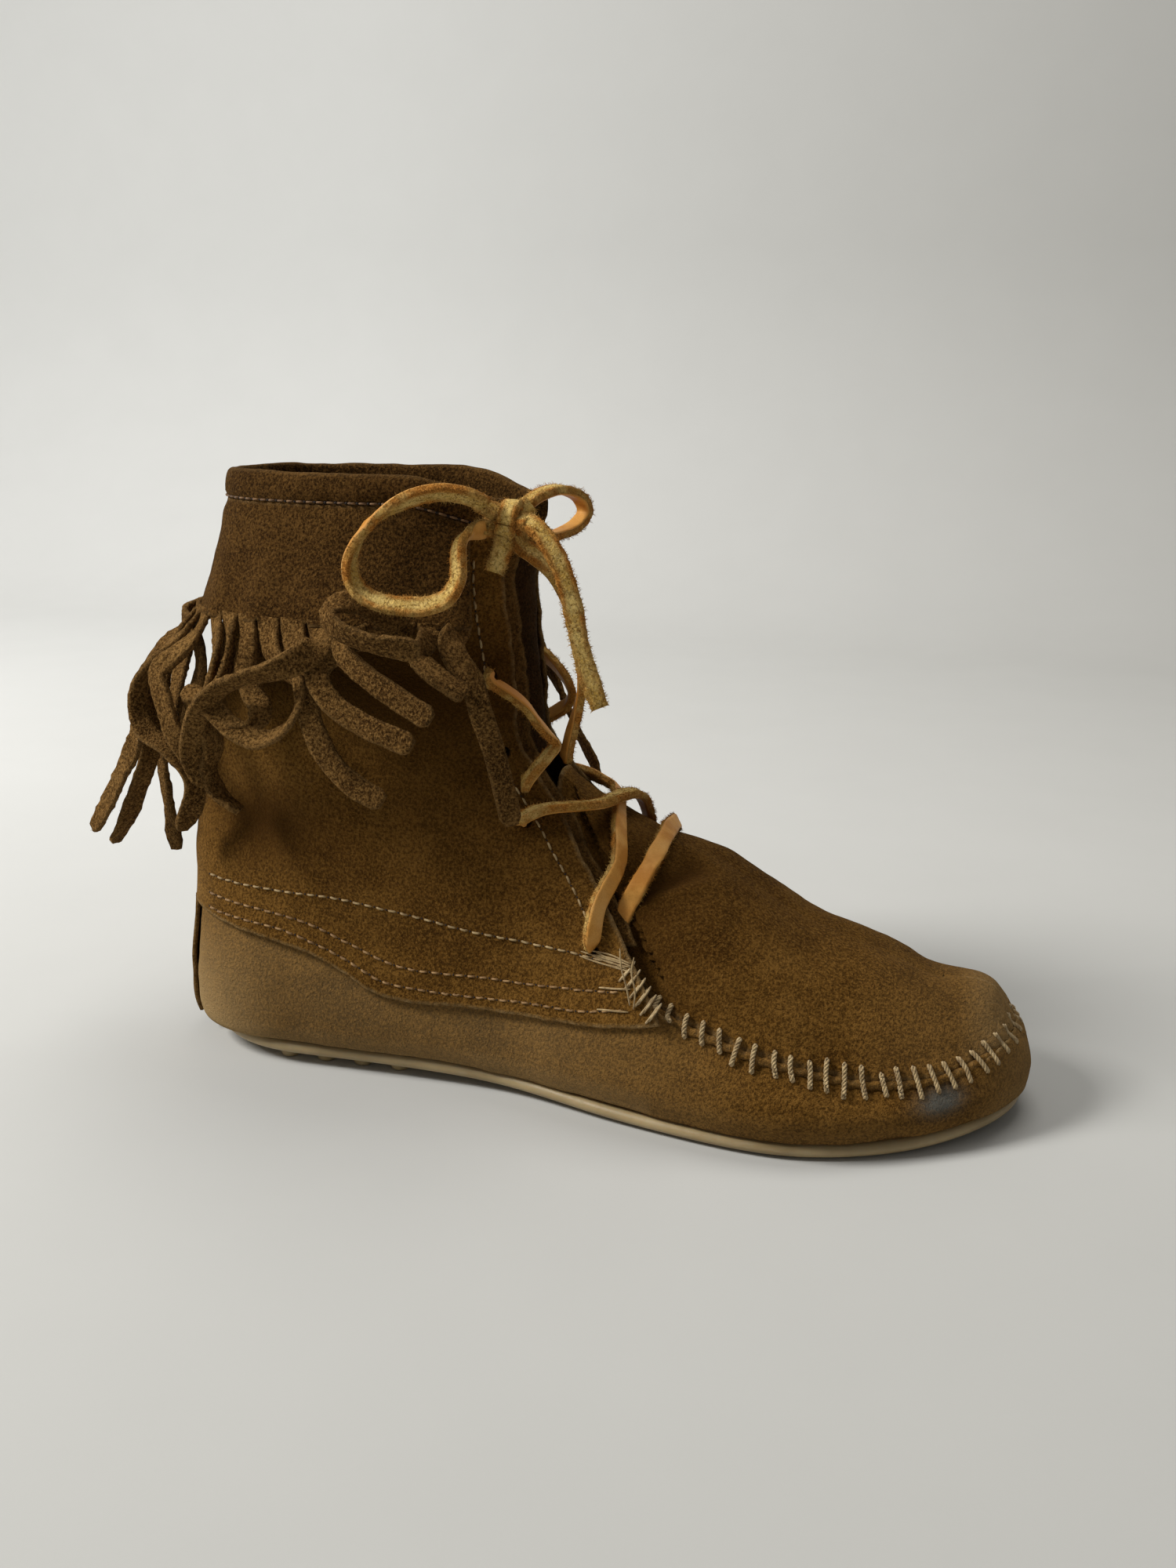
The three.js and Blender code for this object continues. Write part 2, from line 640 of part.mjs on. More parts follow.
// Each run of the thong as it lies: its steps, the centre that its flat side faces away from,
// and its points, hole to hole over the throat and out of the knot.
const KNOT = [105.8, -33.5, 165.5];
const THROAT_CENTRE = [95, 0, 50];
const SHAFT_CENTRE = [60, 0, 110];
const LACE = {
  lace_bar: [12, THROAT_CENTRE, [onApron(0.126, -0.84, 3.6), onApron(0.14, -0.7, 3.2),
    onApron(0.157, -0.48, 2.8), onApron(0.17, -0.24, 2.4), onApron(0.177, 0.01, 2.2),
    onApron(0.17, 0.26, 2.4),
    onApron(0.157, 0.48, 2.8), onApron(0.14, 0.7, 3.2), onApron(0.126, 0.84, 3.6)]],
  lace_cross_low: [14, THROAT_CENTRE, laceCross(LATERAL, 0)],
  lace_cross_high: [14, THROAT_CENTRE, laceCross(MEDIAL, 3)],
  lace_turn_lateral: [12, SHAFT_CENTRE, [[107, -20.5, 92.5], [109.4, -20, 96], [112.5, -19, 100],
    [114.5, -18, 103],
    [112.3, -18.5, 106], [109.6, -20.5, 110], [107, -22.5, 114.5], [103, -24.8, 118.5], [98.5, -27, 121.5]]],
  lace_turn_medial: [10, SHAFT_CENTRE, [[105.8, 20.8, 104.5], [108.5, 20.8, 106.5], [109.8, 21, 109.5],
    [108.6, 22, 113], [105.8, 23.8, 116.5], [102, 25.6, 119.5], [98.4, 27.2, 121.5]]],
  lace_run: [12, SHAFT_CENTRE, [[114.5, -6, 96], [116.4, -8.5, 103], [119.3, -12, 111.5],
    [121.3, -15, 119.5],
    [122, -18.5, 127.5], [121.6, -21.5, 136], [119.8, -24.5, 144.5], [116.5, -27.5, 152], [112, -30.3, 157],
    [108.6, -32, 159.3]]],
  lace_end: [12, SHAFT_CENTRE, [[111, -36, 166.4], [114.8, -37.6, 164.4], [118.2, -38.6, 160.4],
    [121.2, -39, 155.2],
    [123.3, -39, 149.4], [124.8, -38.8, 143], [126, -38.4, 136.4], [127.6, -38, 130], [129.6, -38, 124.4],
    [131.7, -38, 119]]],
  lace_loop_lateral: [26, [82, -44, 158], [[100.6, -38, 170.3], [97, -41, 172.6], [91, -44, 173.6],
    [84.6, -46.4, 172.4], [78.4, -48.2, 169.4], [73, -49.4, 165], [69.3, -50, 159.6], [68, -50, 153.6],
    [70.2, -50, 148.6], [75.6, -50, 145.8], [82, -49.8, 145], [88.4, -49, 145.2], [93.6, -48, 147.6],
    [95.8, -46.4, 152], [95.4, -44.6, 156.6], [95.2, -42.6, 160.8], [97.4, -40.2, 163.4],
    [100.6, -38, 164.4]]],
  lace_loop_medial: [20, [114, -14, 167], [[108.8, -28, 170.2], [110.6, -22.6, 172], [113, -16.4, 173.2],
    [115.6, -10.2, 172.6], [118, -5, 170.2], [118.8, -3.4, 166.6], [117.2, -6.2, 163.4], [114.8, -11, 161.6],
    [112.6, -16.4, 161], [110.8, -21.8, 161.4], [109.6, -26.8, 162]]],
};

function laceKnot() {
  const reach = new THREE.Vector3(4.6, 4.4, 5.2);
  return new THREE.SphereGeometry(1, 10, 7).scale(reach.x, reach.y, reach.z).translate(...KNOT);
}

for (const [name, [steps, centre, points]] of Object.entries(LACE)) {
  add(name, thong(points, steps, centre), RAWHIDE);
}
add('lace_knot', laceKnot(), RAWHIDE);

// ---------------------------------------------------------------- the shared frame
// The origin moves to the middle of the bounding box, on the floor.
const box = new THREE.Box3().setFromObject(moccasin);
const middle = box.getCenter(new THREE.Vector3());
moccasin.position.set(-middle.x, -middle.y, -box.min.z);

export default moccasin;
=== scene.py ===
"""A fringed lace-up ankle moccasin in suede, with a rawhide lace and a nubbed rubber sole.

Shapes are worked out in the part's drafting millimetres (+X toe, +Y inner side, +Z up, the
origin below the inside of the heel) and moved into the row frame by to_row().
"""

import math

import bmesh
import bpy
import numpy as np
from mathutils import Matrix, Vector, noise


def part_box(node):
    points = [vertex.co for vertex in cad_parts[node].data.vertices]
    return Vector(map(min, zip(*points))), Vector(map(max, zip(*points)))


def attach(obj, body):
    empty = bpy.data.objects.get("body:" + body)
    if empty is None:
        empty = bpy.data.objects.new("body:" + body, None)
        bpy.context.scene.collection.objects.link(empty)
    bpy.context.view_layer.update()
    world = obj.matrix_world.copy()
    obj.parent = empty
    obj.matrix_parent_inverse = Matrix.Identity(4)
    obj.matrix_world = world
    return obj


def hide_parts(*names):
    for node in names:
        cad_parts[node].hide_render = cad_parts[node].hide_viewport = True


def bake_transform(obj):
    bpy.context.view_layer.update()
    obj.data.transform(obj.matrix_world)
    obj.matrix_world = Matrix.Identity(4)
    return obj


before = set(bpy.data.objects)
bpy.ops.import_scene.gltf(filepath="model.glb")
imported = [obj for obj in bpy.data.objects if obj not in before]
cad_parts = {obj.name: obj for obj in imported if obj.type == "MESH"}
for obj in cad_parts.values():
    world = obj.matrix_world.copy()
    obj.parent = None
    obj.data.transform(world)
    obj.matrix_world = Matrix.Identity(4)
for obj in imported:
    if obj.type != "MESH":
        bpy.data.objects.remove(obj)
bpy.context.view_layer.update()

# ---------------------------------------------------------------- driving dimensions, in millimetres
LATERAL = -1
MEDIAL = 1
LEATHER = 1.4
LAYER_GAP = 0.5
SOLE_THICKNESS = 3.4
SOLE_BACK = 2
SOLE_FRONT = 250
HEEL_RADIUS = 36
TOE_LEVEL = 27
HEEL_LEVEL = 40
SHAFT_FROM = 25
SHAFT_FULL = 80
COLLAR_SEAM = 167.5
COLLAR_TOP = 177
COLLAR_DIP = 7
SKIRT_EDGE = 136.5
SKIRT_SPREAD = 0.73
COLLAR_SPREAD = 0.83
STRAND_COUNT = 32
STRAND_WIDTH = 6.3
STRAND_THICKNESS = 1.3
NAPPED_THICKNESS = 1.9
THONG_WIDTH = 5.0
THONG_THICKNESS = 2.5
APRON_BACK = 113
RIDGE_END = 226
FACING_ROOM = 4.2
PAD_CENTRE_X = 178
PAD_RADIUS = 10
SEAM_END = 247
APRON_TUCK = -0.3
HEM_RISE = 1.1
SEAM_START = 146
STITCH_PITCH = 5.0
NEEDLE_RADIUS = 0.42
NEEDLE_SUNK = NEEDLE_RADIUS * 0.62
STUD_RADIUS = 3.2
STUD_PITCH = 12
STUD_MARGIN = 5
STUDS_FROM = 8
STUDS_TO = 232
WAIST_FROM = 76
WAIST_TO = 116
LACE_HOLE_RADIUS = 1.9
# Along X and up, from the instep to the ankle, the same on both sides.
LACE_HOLES = [(130.3, 50.7), (106.5, 81.8), (98.9, 99.8), (95.2, 121.9)]

MM = 0.001
SOLE_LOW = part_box("outsole")[0]
TONGUE_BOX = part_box("tongue")
ORIGIN = np.array([SOLE_LOW.x - SOLE_BACK * MM, (TONGUE_BOX[0].y + TONGUE_BOX[1].y) / 2, 0.0])


def to_row(points):
    """Drafting millimetres to metres in the row frame."""
    return np.asarray(points, float) * MM + ORIGIN


# ---------------------------------------------------------------- small maths
def mix(a, b, t):
    return a + (b - a) * t


def clamp01(t):
    return min(1.0, max(0.0, t))


def smooth(low, high, x):
    t = clamp01((x - low) / (high - low))
    return t * t * (3 - 2 * t)


def sign(x):
    return 1.0 if x > 0 else -1.0


def profile(pairs):
    """A smooth line through (input, output) pairs, held level beyond its ends."""
    last = len(pairs) - 1
    slopes = []
    for i in range(last + 1):
        before = pairs[max(0, i - 1)]
        after = pairs[min(last, i + 1)]
        slopes.append((after[1] - before[1]) / (after[0] - before[0]))

    def at(value):
        x = min(pairs[last][0], max(pairs[0][0], value))
        i = 0
        while i < last - 1 and x > pairs[i + 1][0]:
            i += 1
        span = pairs[i + 1][0] - pairs[i][0]
        t = (x - pairs[i][0]) / span
        t2 = t * t
        t3 = t2 * t
        low = (2 * t3 - 3 * t2 + 1) * pairs[i][1] + (t3 - 2 * t2 + t) * span * slopes[i]
        return low + (3 * t2 - 2 * t3) * pairs[i + 1][1] + (t3 - t2) * span * slopes[i + 1]

    return at


def fractal(point, scale, seed, octaves=3):
    """Smooth noise of about -1 to 1, with features of the given size in millimetres."""
    place = Vector((point[0] / scale + seed * 7.3, point[1] / scale - seed * 3.1, point[2] / scale + seed))
    return noise.fractal(place, 1.0, 2.0, octaves)


# ---------------------------------------------------------------- the shape of the shoe
# Half widths of the foot along its length, on each side.
FOOT_WIDTH = {
    LATERAL: profile([(-2, 30), (30, 31), (75, 31), (105, 33), (140, 42), (172, 48), (200, 48), (250, 44)]),
    MEDIAL: profile([(-2, 29), (30, 29.5), (75, 28.5), (105, 30), (140, 37), (172, 45), (200, 47),
                     (250, 44)]),
}
TOE_START = {LATERAL: 180, MEDIAL: 188}
TOE_POWER = {LATERAL: 1.9, MEDIAL: 2.2}
# Heights to positions along X: the back of the heel and shaft, and the front of the toe and instep.
BACK = profile([(3, -3), (8, -5), (20, -5.5), (60, -2.5), (78, 0), (100, 4), (120, 8), (145, 12.5),
                (180, 17)])
FRONT = profile([(0, 250), (10, 252), (20, 252), (27, 249), (36, 232), (46, 202), (52, 185), (60, 172),
                 (72, 149), (80, 131), (92, 117), (100, 112), (140, 108), (180, 108)])
SHAFT_WIDTH = profile([(20, 35), (50, 34), (70, 33), (90, 31.5), (120, 30), (150, 29), (180, 29)])
BULGE = profile([(6, 0), (12, 3), (20, 3.8), (30, 3.2), (45, 1), (60, 0)])
# The open front edge of the quarters, height to X.
THROAT = profile([(34, 152), (60, 133), (80, 117), (95, 106), (104, 102), (120, 101), (150, 98), (168, 101)])
# Along X: the raw lower edge of the quarters, the top edge of the wrap, the tread and the apron ridge.
QUARTER_EDGE = profile([(-8, 46), (12, 44), (44, 38.5), (66, 28.5), (92, 28.4), (128, 30.5), (152, 35)])
WRAP_EDGE = profile([(-8, 54), (40, 48), (65, 37), (110, 37), (135, 40), (146, 38.5), (156, 33.3),
                     (165, 30.5), (175, 27), (194, 22.2), (204, 19.8), (220, 18.9), (229, 19.6),
                     (236, 21.5), (242, 24), (247, 26.5)])
TREAD = profile([(-3, 3.6), (80, 3.2), (125, 1.4), (150, 0.8), (215, 0.8), (250, 3.6)])
RIDGE = profile([(113, 92), (121, 85), (139, 75), (155, 70), (172, 60), (185, 52), (202, 46), (221, 40),
                 (235, 35), (247, 27)])
APRON_EDGE = profile([(113, 79), (124, 65), (136, 51), (147, 38.5), (156, 34), (165, 31.2), (175, 27.8),
                      (194, 23), (204, 20.6), (220, 19.7), (229, 20.4), (236, 22.3), (242, 24.8),
                      (245, 26.5)])
# The hand-sewn seam's half width on each side.
SEAM_WIDTH = {
    LATERAL: profile([(150, 41), (165, 43), (180, 43.4), (200, 42)]),
    MEDIAL: profile([(150, 36), (172, 39), (200, 40.5)]),
}


def plan_width(side, x, back, front, width):
    """Half width of a foot-shaped outline, rounded at the heel and the toe."""
    heel = clamp01((back + HEEL_RADIUS - x) / HEEL_RADIUS)
    toe = clamp01((x - TOE_START[side]) / (front - TOE_START[side]))
    power = TOE_POWER[side]
    return width * (1 - heel ** 2.3) ** (1 / 2.3) * (1 - toe ** power) ** (1 / power)


def foot_width(side, x, z):
    """Half width of the foot part of the upper."""
    front = FRONT(min(z, TOE_LEVEL))
    return plan_width(side, x, BACK(z), front, FOOT_WIDTH[side](x) + BULGE(z))


def shaft_power(behind):
    return 2.4 if behind else 1.7


def shaft_half(x, z):
    """Half width of the ankle shaft."""
    back = BACK(z)
    front = FRONT(z)
    centre = (back + front) / 2
    power = shaft_power(x < centre)
    reach = clamp01(abs(x - centre) / ((front - back) / 2))
    return SHAFT_WIDTH(z) * (1 - reach ** power) ** (1 / power)


def wall_width(side, x, z):
    """Half width of the upper at any place along X and any height."""
    return mix(foot_width(side, x, z), shaft_half(x, z), smooth(SHAFT_FROM, SHAFT_FULL, z))


def shaft_point(turn, z):
    """A point of the ankle shaft: turn runs from 0 at the back to 1 or -1 at the front."""
    angle = math.pi * abs(turn)
    cosine = math.cos(angle)
    power = 2 / shaft_power(cosine > 0)
    centre = (BACK(z) + FRONT(z)) / 2
    x = centre - (FRONT(z) - centre) * sign(cosine) * abs(cosine) ** power
    y = sign(turn) * SHAFT_WIDTH(z) * math.sin(angle) ** power
    return np.array([x, y, z])


def shaft_directions(turn, z):
    """Along the shaft towards the toe, and straight out of it."""
    side = sign(turn)
    step = 0.01 * side
    forward = shaft_point(turn + step, z) - shaft_point(turn - step, z)
    forward /= np.linalg.norm(forward)
    out = np.array([forward[1], -forward[0], 0.0]) * -side
    return forward, out


def collar_drop(x):
    """How far the top edge dips towards the front."""
    return COLLAR_DIP * smooth(72, 104, x)


def bed_height(x):
    """The level of the leather on top of the sole."""
    return TREAD(x) + SOLE_THICKNESS + 0.4


def seam_half(side, x):
    """Half width of the apron seam."""
    toe = clamp01((x - TOE_START[side]) / (SEAM_END - TOE_START[side]))
    return SEAM_WIDTH[side](x) * (1 - toe ** TOE_POWER[side]) ** (1 / TOE_POWER[side])


def along_foot(u, z, front):
    return mix(BACK(z), front, (1 - math.cos(math.pi * u)) / 2)


def wrap_wall(side, u, rise):
    """A point of the lower wall: rise is 0 at the sole and 1 at the wrap's top edge."""
    edge_x = along_foot(u, HEEL_LEVEL, SEAM_END)
    top = WRAP_EDGE(edge_x)
    z = mix(bed_height(edge_x) + HEM_RISE, top, rise)
    x = along_foot(u, z, FRONT(min(z, TOE_LEVEL)))
    y = side * wall_width(side, x, z)
    top_x = along_foot(u, top, FRONT(min(top, TOE_LEVEL)))
    turn = smooth(146, 160, edge_x) * max(0.0, rise) ** 3
    x += turn * (edge_x - top_x)
    y += turn * side * (seam_half(side, edge_x) - wall_width(side, top_x, top))
    return np.array([x, y, z])


def apron_edge(side, u):
    """A point of the apron's edge, from under the facing to the tip of the toe."""
    x = mix(APRON_BACK, SEAM_END - 2, math.sin(math.pi / 2 * u))
    z = APRON_EDGE(x)
    under = wall_width(side, x, z) - FACING_ROOM
    sewn = max(0.0, seam_half(side, x + 2) - APRON_TUCK)
    closed = 0.0 if u > 0.9999 else mix(under, sewn, smooth(146, 160, x))
    return np.array([x, side * closed, z])


def apron_point(u, across):
    """Across runs from -1 at the lateral seam over the ridge to 1 at the medial seam."""
    side = LATERAL if across < 0 else MEDIAL
    edge = apron_edge(side, u)
    share = abs(across)
    span = SEAM_END - 2 - APRON_BACK
    ridge_x = mix(APRON_BACK, RIDGE_END, (edge[0] - APRON_BACK) / span)
    x = mix(ridge_x, edge[0], share)
    dome = max(0.0, 1 - share ** 2.2) ** 0.75
    z = mix(edge[2], RIDGE(ridge_x), dome)
    y = share * abs(edge[1])
    if z < 96 and x < THROAT(z) + 6:
        y = min(y, wall_width(side, x, z) - FACING_ROOM)
    return np.array([x, side * y, z])


def quarter_x(u, z):
    return mix(BACK(z), THROAT(z), 1 - math.cos(math.pi / 2 * u))


def quarter_point(side, u, z):
    x = quarter_x(u, z)
    return np.array([x, side * max(0.35, wall_width(side, x, z)), z])


# ---------------------------------------------------------------- meshes
def lattice(point, columns, rows, closed=False):
    """Points over a grid with their outward normals, in drafting millimetres."""
    across = range(columns if closed else columns + 1)
    points = np.array([[point(i / columns, j / rows) for j in range(rows + 1)] for i in across])
    if closed:
        along = np.roll(points, -1, axis=0) - np.roll(points, 1, axis=0)
    else:
        along = np.gradient(points, axis=0)
    up = np.gradient(points, axis=1)
    normals = np.cross(along, up)
    lengths = np.linalg.norm(normals, axis=2, keepdims=True)
    return points, normals / np.maximum(lengths, 1e-9)


def raised(points, normals, relief):
    """A lattice with its points pushed out by a height for each."""
    return points + normals * relief[:, :, None]


def new_object(name, vertices, faces, material, body="boot", smooth_shading=True):
    """A mesh object from drafting millimetres, riding on a body (None leaves it loose)."""
    mesh = bpy.data.meshes.new(name)
    mesh.from_pydata([tuple(p) for p in to_row(vertices)], [], [tuple(f) for f in faces])
    mesh.validate()
    mesh.update()
    if smooth_shading:
        mesh.polygons.foreach_set("use_smooth", [True] * len(mesh.polygons))
    obj = bpy.data.objects.new(name, mesh)
    bpy.context.scene.collection.objects.link(obj)
    obj.data.materials.append(material)
    if body:
        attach(obj, body)
    return obj


def mark(obj, name, values):
    """Stores a number for each vertex for the materials to read."""
    layer = obj.data.attributes.new(name, "FLOAT", "POINT")
    layer.data.foreach_set("value", np.asarray(values, float))


def tidy_mesh(obj, distance=0.02):
    """Welds coinciding vertices and makes the faces point outwards."""
    work = bmesh.new()
    work.from_mesh(obj.data)
    bmesh.ops.remove_doubles(work, verts=work.verts, dist=distance * MM)
    bmesh.ops.recalc_face_normals(work, faces=work.faces)
    work.to_mesh(obj.data)
    work.free()


def sheet_mesh(name, points, normals, offset, thickness, material, body="boot", closed=False,
               edge_round=0.25):
    """A sheet of leather over a lattice: two faces and soft raw edges. The edge mark is 1 on the rim."""
    columns, rows = points.shape[:2]
    outer = points + normals * offset
    inner = points + normals * (offset - thickness)
    middle = points + normals * (offset - thickness / 2)
    vertices = np.concatenate([outer.reshape(-1, 3), inner.reshape(-1, 3)])
    count = columns * rows
    edge = np.zeros((columns, rows))
    faces = []

    def at(i, j):
        return (i % columns) * rows + j

    for i in range(columns if closed else columns - 1):
        for j in range(rows - 1):
            quad = (at(i, j), at(i + 1, j), at(i + 1, j + 1), at(i, j + 1))
            faces.append(quad)
            faces.append(tuple(q + count for q in reversed(quad)))
    rims = []
    if not closed:
        rims.append([(0, j) for j in range(rows - 1, -1, -1)])
        rims.append([(columns - 1, j) for j in range(rows)])
    span = list(range(columns)) + ([0] if closed else [])
    rims.append([(i, 0) for i in span])
    rims.append([(i, rows - 1) for i in reversed(span)])
    extra = []
    for rim in rims:
        start = 2 * count + len(extra)
        for i, j in rim:
            inward = (min(max(i, 1), columns - 2) if not closed else i, min(max(j, 1), rows - 2))
            away = points[i, j] - points[inward]
            length = np.linalg.norm(away)
            push = away / length if length > 1e-6 else away
            extra.append(middle[i, j] + push * edge_round)
            edge[i, j] = 1.0
        for k in range(len(rim) - 1):
            a = at(*rim[k])
            b = at(*rim[k + 1])
            m = start + k
            faces.append((b, a, m, m + 1))
            faces.append((m + 1, m, a + count, b + count))
    vertices = np.concatenate([vertices, np.array(extra)])
    obj = new_object(name, vertices, faces, material, body)
    mark(obj, "edge", np.concatenate([edge.ravel(), edge.ravel(), np.ones(len(extra))]))
    return obj


def unit(vectors):
    """Vectors brought to length 1."""
    return vectors / np.maximum(1e-9, np.linalg.norm(vectors, axis=-1, keepdims=True))


def distances(points):
    """How far along a line each of its points lies."""
    return np.concatenate([[0], np.cumsum(np.linalg.norm(np.diff(points, axis=0), axis=1))])


def at_distance(run, values, s):
    """What a line of points or directions has at a distance along it."""
    return np.array([np.interp(s, run, values[:, axis]) for axis in range(3)])


def tube_faces(rings, sides, caps=True):
    """The faces round a row of rings, and flat ends."""
    faces = []
    for i in range(rings - 1):
        for k in range(sides):
            a = i * sides + k
            b = i * sides + (k + 1) % sides
            faces.append((a, b, b + sides, a + sides))
    if caps:
        faces.append(tuple(reversed(range(sides))))
        faces.append(tuple((rings - 1) * sides + k for k in range(sides)))
    return faces


def spline(points, count):
    """Evenly spaced points on a centripetal Catmull-Rom curve through the given ones."""
    given = [np.asarray(p, float) for p in points]
    given = [2 * given[0] - given[1], *given, 2 * given[-1] - given[-2]]
    dense = []
    for i in range(1, len(given) - 2):
        p0, p1, p2, p3 = given[i - 1:i + 3]
        t1 = np.linalg.norm(p1 - p0) ** 0.5
        t2 = t1 + np.linalg.norm(p2 - p1) ** 0.5
        t3 = t2 + np.linalg.norm(p3 - p2) ** 0.5
        for t in np.linspace(t1, t2, 24, endpoint=False):
            a1 = p0 * (t1 - t) / t1 + p1 * t / t1
            a2 = p1 * (t2 - t) / (t2 - t1) + p2 * (t - t1) / (t2 - t1)
            a3 = p2 * (t3 - t) / (t3 - t2) + p3 * (t - t2) / (t3 - t2)
            b1 = a1 * (t2 - t) / t2 + a2 * t / t2
            b2 = a2 * (t3 - t) / (t3 - t1) + a3 * (t - t1) / (t3 - t1)
            dense.append(b1 * (t2 - t) / (t2 - t1) + b2 * (t - t1) / (t2 - t1))
    dense.append(given[-2])
    dense = np.array(dense)
    run = distances(dense)
    want = np.linspace(0, run[-1], count)
    return np.stack([np.interp(want, run, dense[:, k]) for k in range(3)], axis=1)


def path_length(points):
    return float(np.linalg.norm(np.diff(points, axis=0), axis=1).sum())


def route_frames(points, outs):
    """Across and out directions at each point, from wanted out directions."""
    frames = []
    for tangent, out in zip(unit(np.gradient(points, axis=0)), outs):
        across = unit(np.cross(out, tangent))
        frames.append((across, np.cross(tangent, across)))
    return frames


def combine(pieces):
    """Joins (vertices, faces) lists into one."""
    vertices = []
    faces = []
    count = 0
    for more, sides in pieces:
        vertices.append(more)
        faces.extend(tuple(i + count for i in face) for face in sides)
        count += len(more)
    return np.concatenate(vertices), faces


def hairs(seats, length, seed, share=1.0, radius=0.055):
    """Loose fibres: thin bent spikes from (point, direction) seats, of which a share is used."""
    chance = np.random.default_rng(seed)
    points = np.array([point for point, _ in seats], float)
    directions = np.array([direction for _, direction in seats], float)
    keep = chance.random(len(points)) < share
    points = points[keep]
    count = len(points)
    first = unit(unit(directions[keep]) + chance.normal(0, 0.55, (count, 3)))
    second = unit(first + chance.normal(0, 0.6, (count, 3)))
    reach = length * chance.uniform(0.35, 1.0, (count, 1))
    start = points - first * 0.12
    middle = start + first * reach * 0.55
    tip = middle + second * reach * 0.45
    side = unit(np.cross(first, (0.3, 0.5, 0.8)))
    other = np.cross(first, side)
    ring = [side, -0.5 * side + 0.87 * other, -0.5 * side - 0.87 * other]
    rows = [start + r * radius for r in ring] + [middle + r * radius * 0.8 for r in ring] + [tip]
    vertices = np.stack(rows, axis=1).reshape(-1, 3)
    faces = []
    for base in range(0, 7 * count, 7):
        for a, b in ((0, 1), (1, 2), (2, 0)):
            faces.append((base + a, base + b, base + b + 3, base + a + 3))
            faces.append((base + a + 3, base + b + 3, base + 6))
    return vertices, faces


def raw_edge_fuzz(name, points, normals, depth, length, material, rims="top bottom start end"):
    """Loose fibres along the raw edges of a sheet that was laid over a lattice."""
    edges = {
        "start": (points[0], points[0] - points[1], normals[0]),
        "end": (points[-1], points[-1] - points[-2], normals[-1]),
        "bottom": (points[:, 0], points[:, 0] - points[:, 1], normals[:, 0]),
        "top": (points[:, -1], points[:, -1] - points[:, -2], normals[:, -1]),
    }
    seats = []
    for rim in rims.split():
        line, away, out = edges[rim]
        away = unit(away)
        run = distances(line)
        for s in np.arange(0, run[-1], 0.28):
            place, push, lift = [at_distance(run, values, s) for values in (line, away, out)]
            seats.append((place + lift * depth, push + lift * 0.5))
            seats.append((place + lift * (depth - 0.6) + push * 0.2, push))
    vertices, faces = hairs(seats, length, len(seats), 0.9)
    obj = new_object(name, vertices, faces, material)
    mark(obj, "edge", np.full(len(vertices), 0.7))


def stick(points, radius, sides=8):
    """A round thread along points, with rounded ends."""
    points = np.asarray(points, float)
    lead = np.array([0.31, 0.52, 0.79])
    outs = [lead - tangent * float(lead @ tangent) for tangent in unit(np.gradient(points, axis=0))]
    frames = route_frames(points, outs)
    rings = []
    last = len(points) - 1
    for i, (point, (across, out)) in enumerate(zip(points, frames)):
        size = radius * (0.55 if i in (0, last) else 1.0)
        for k in range(sides):
            angle = 2 * math.pi * k / sides
            rings.append(point + (across * math.cos(angle) + out * math.sin(angle)) * size)
    return np.array(rings), tube_faces(len(points), sides)


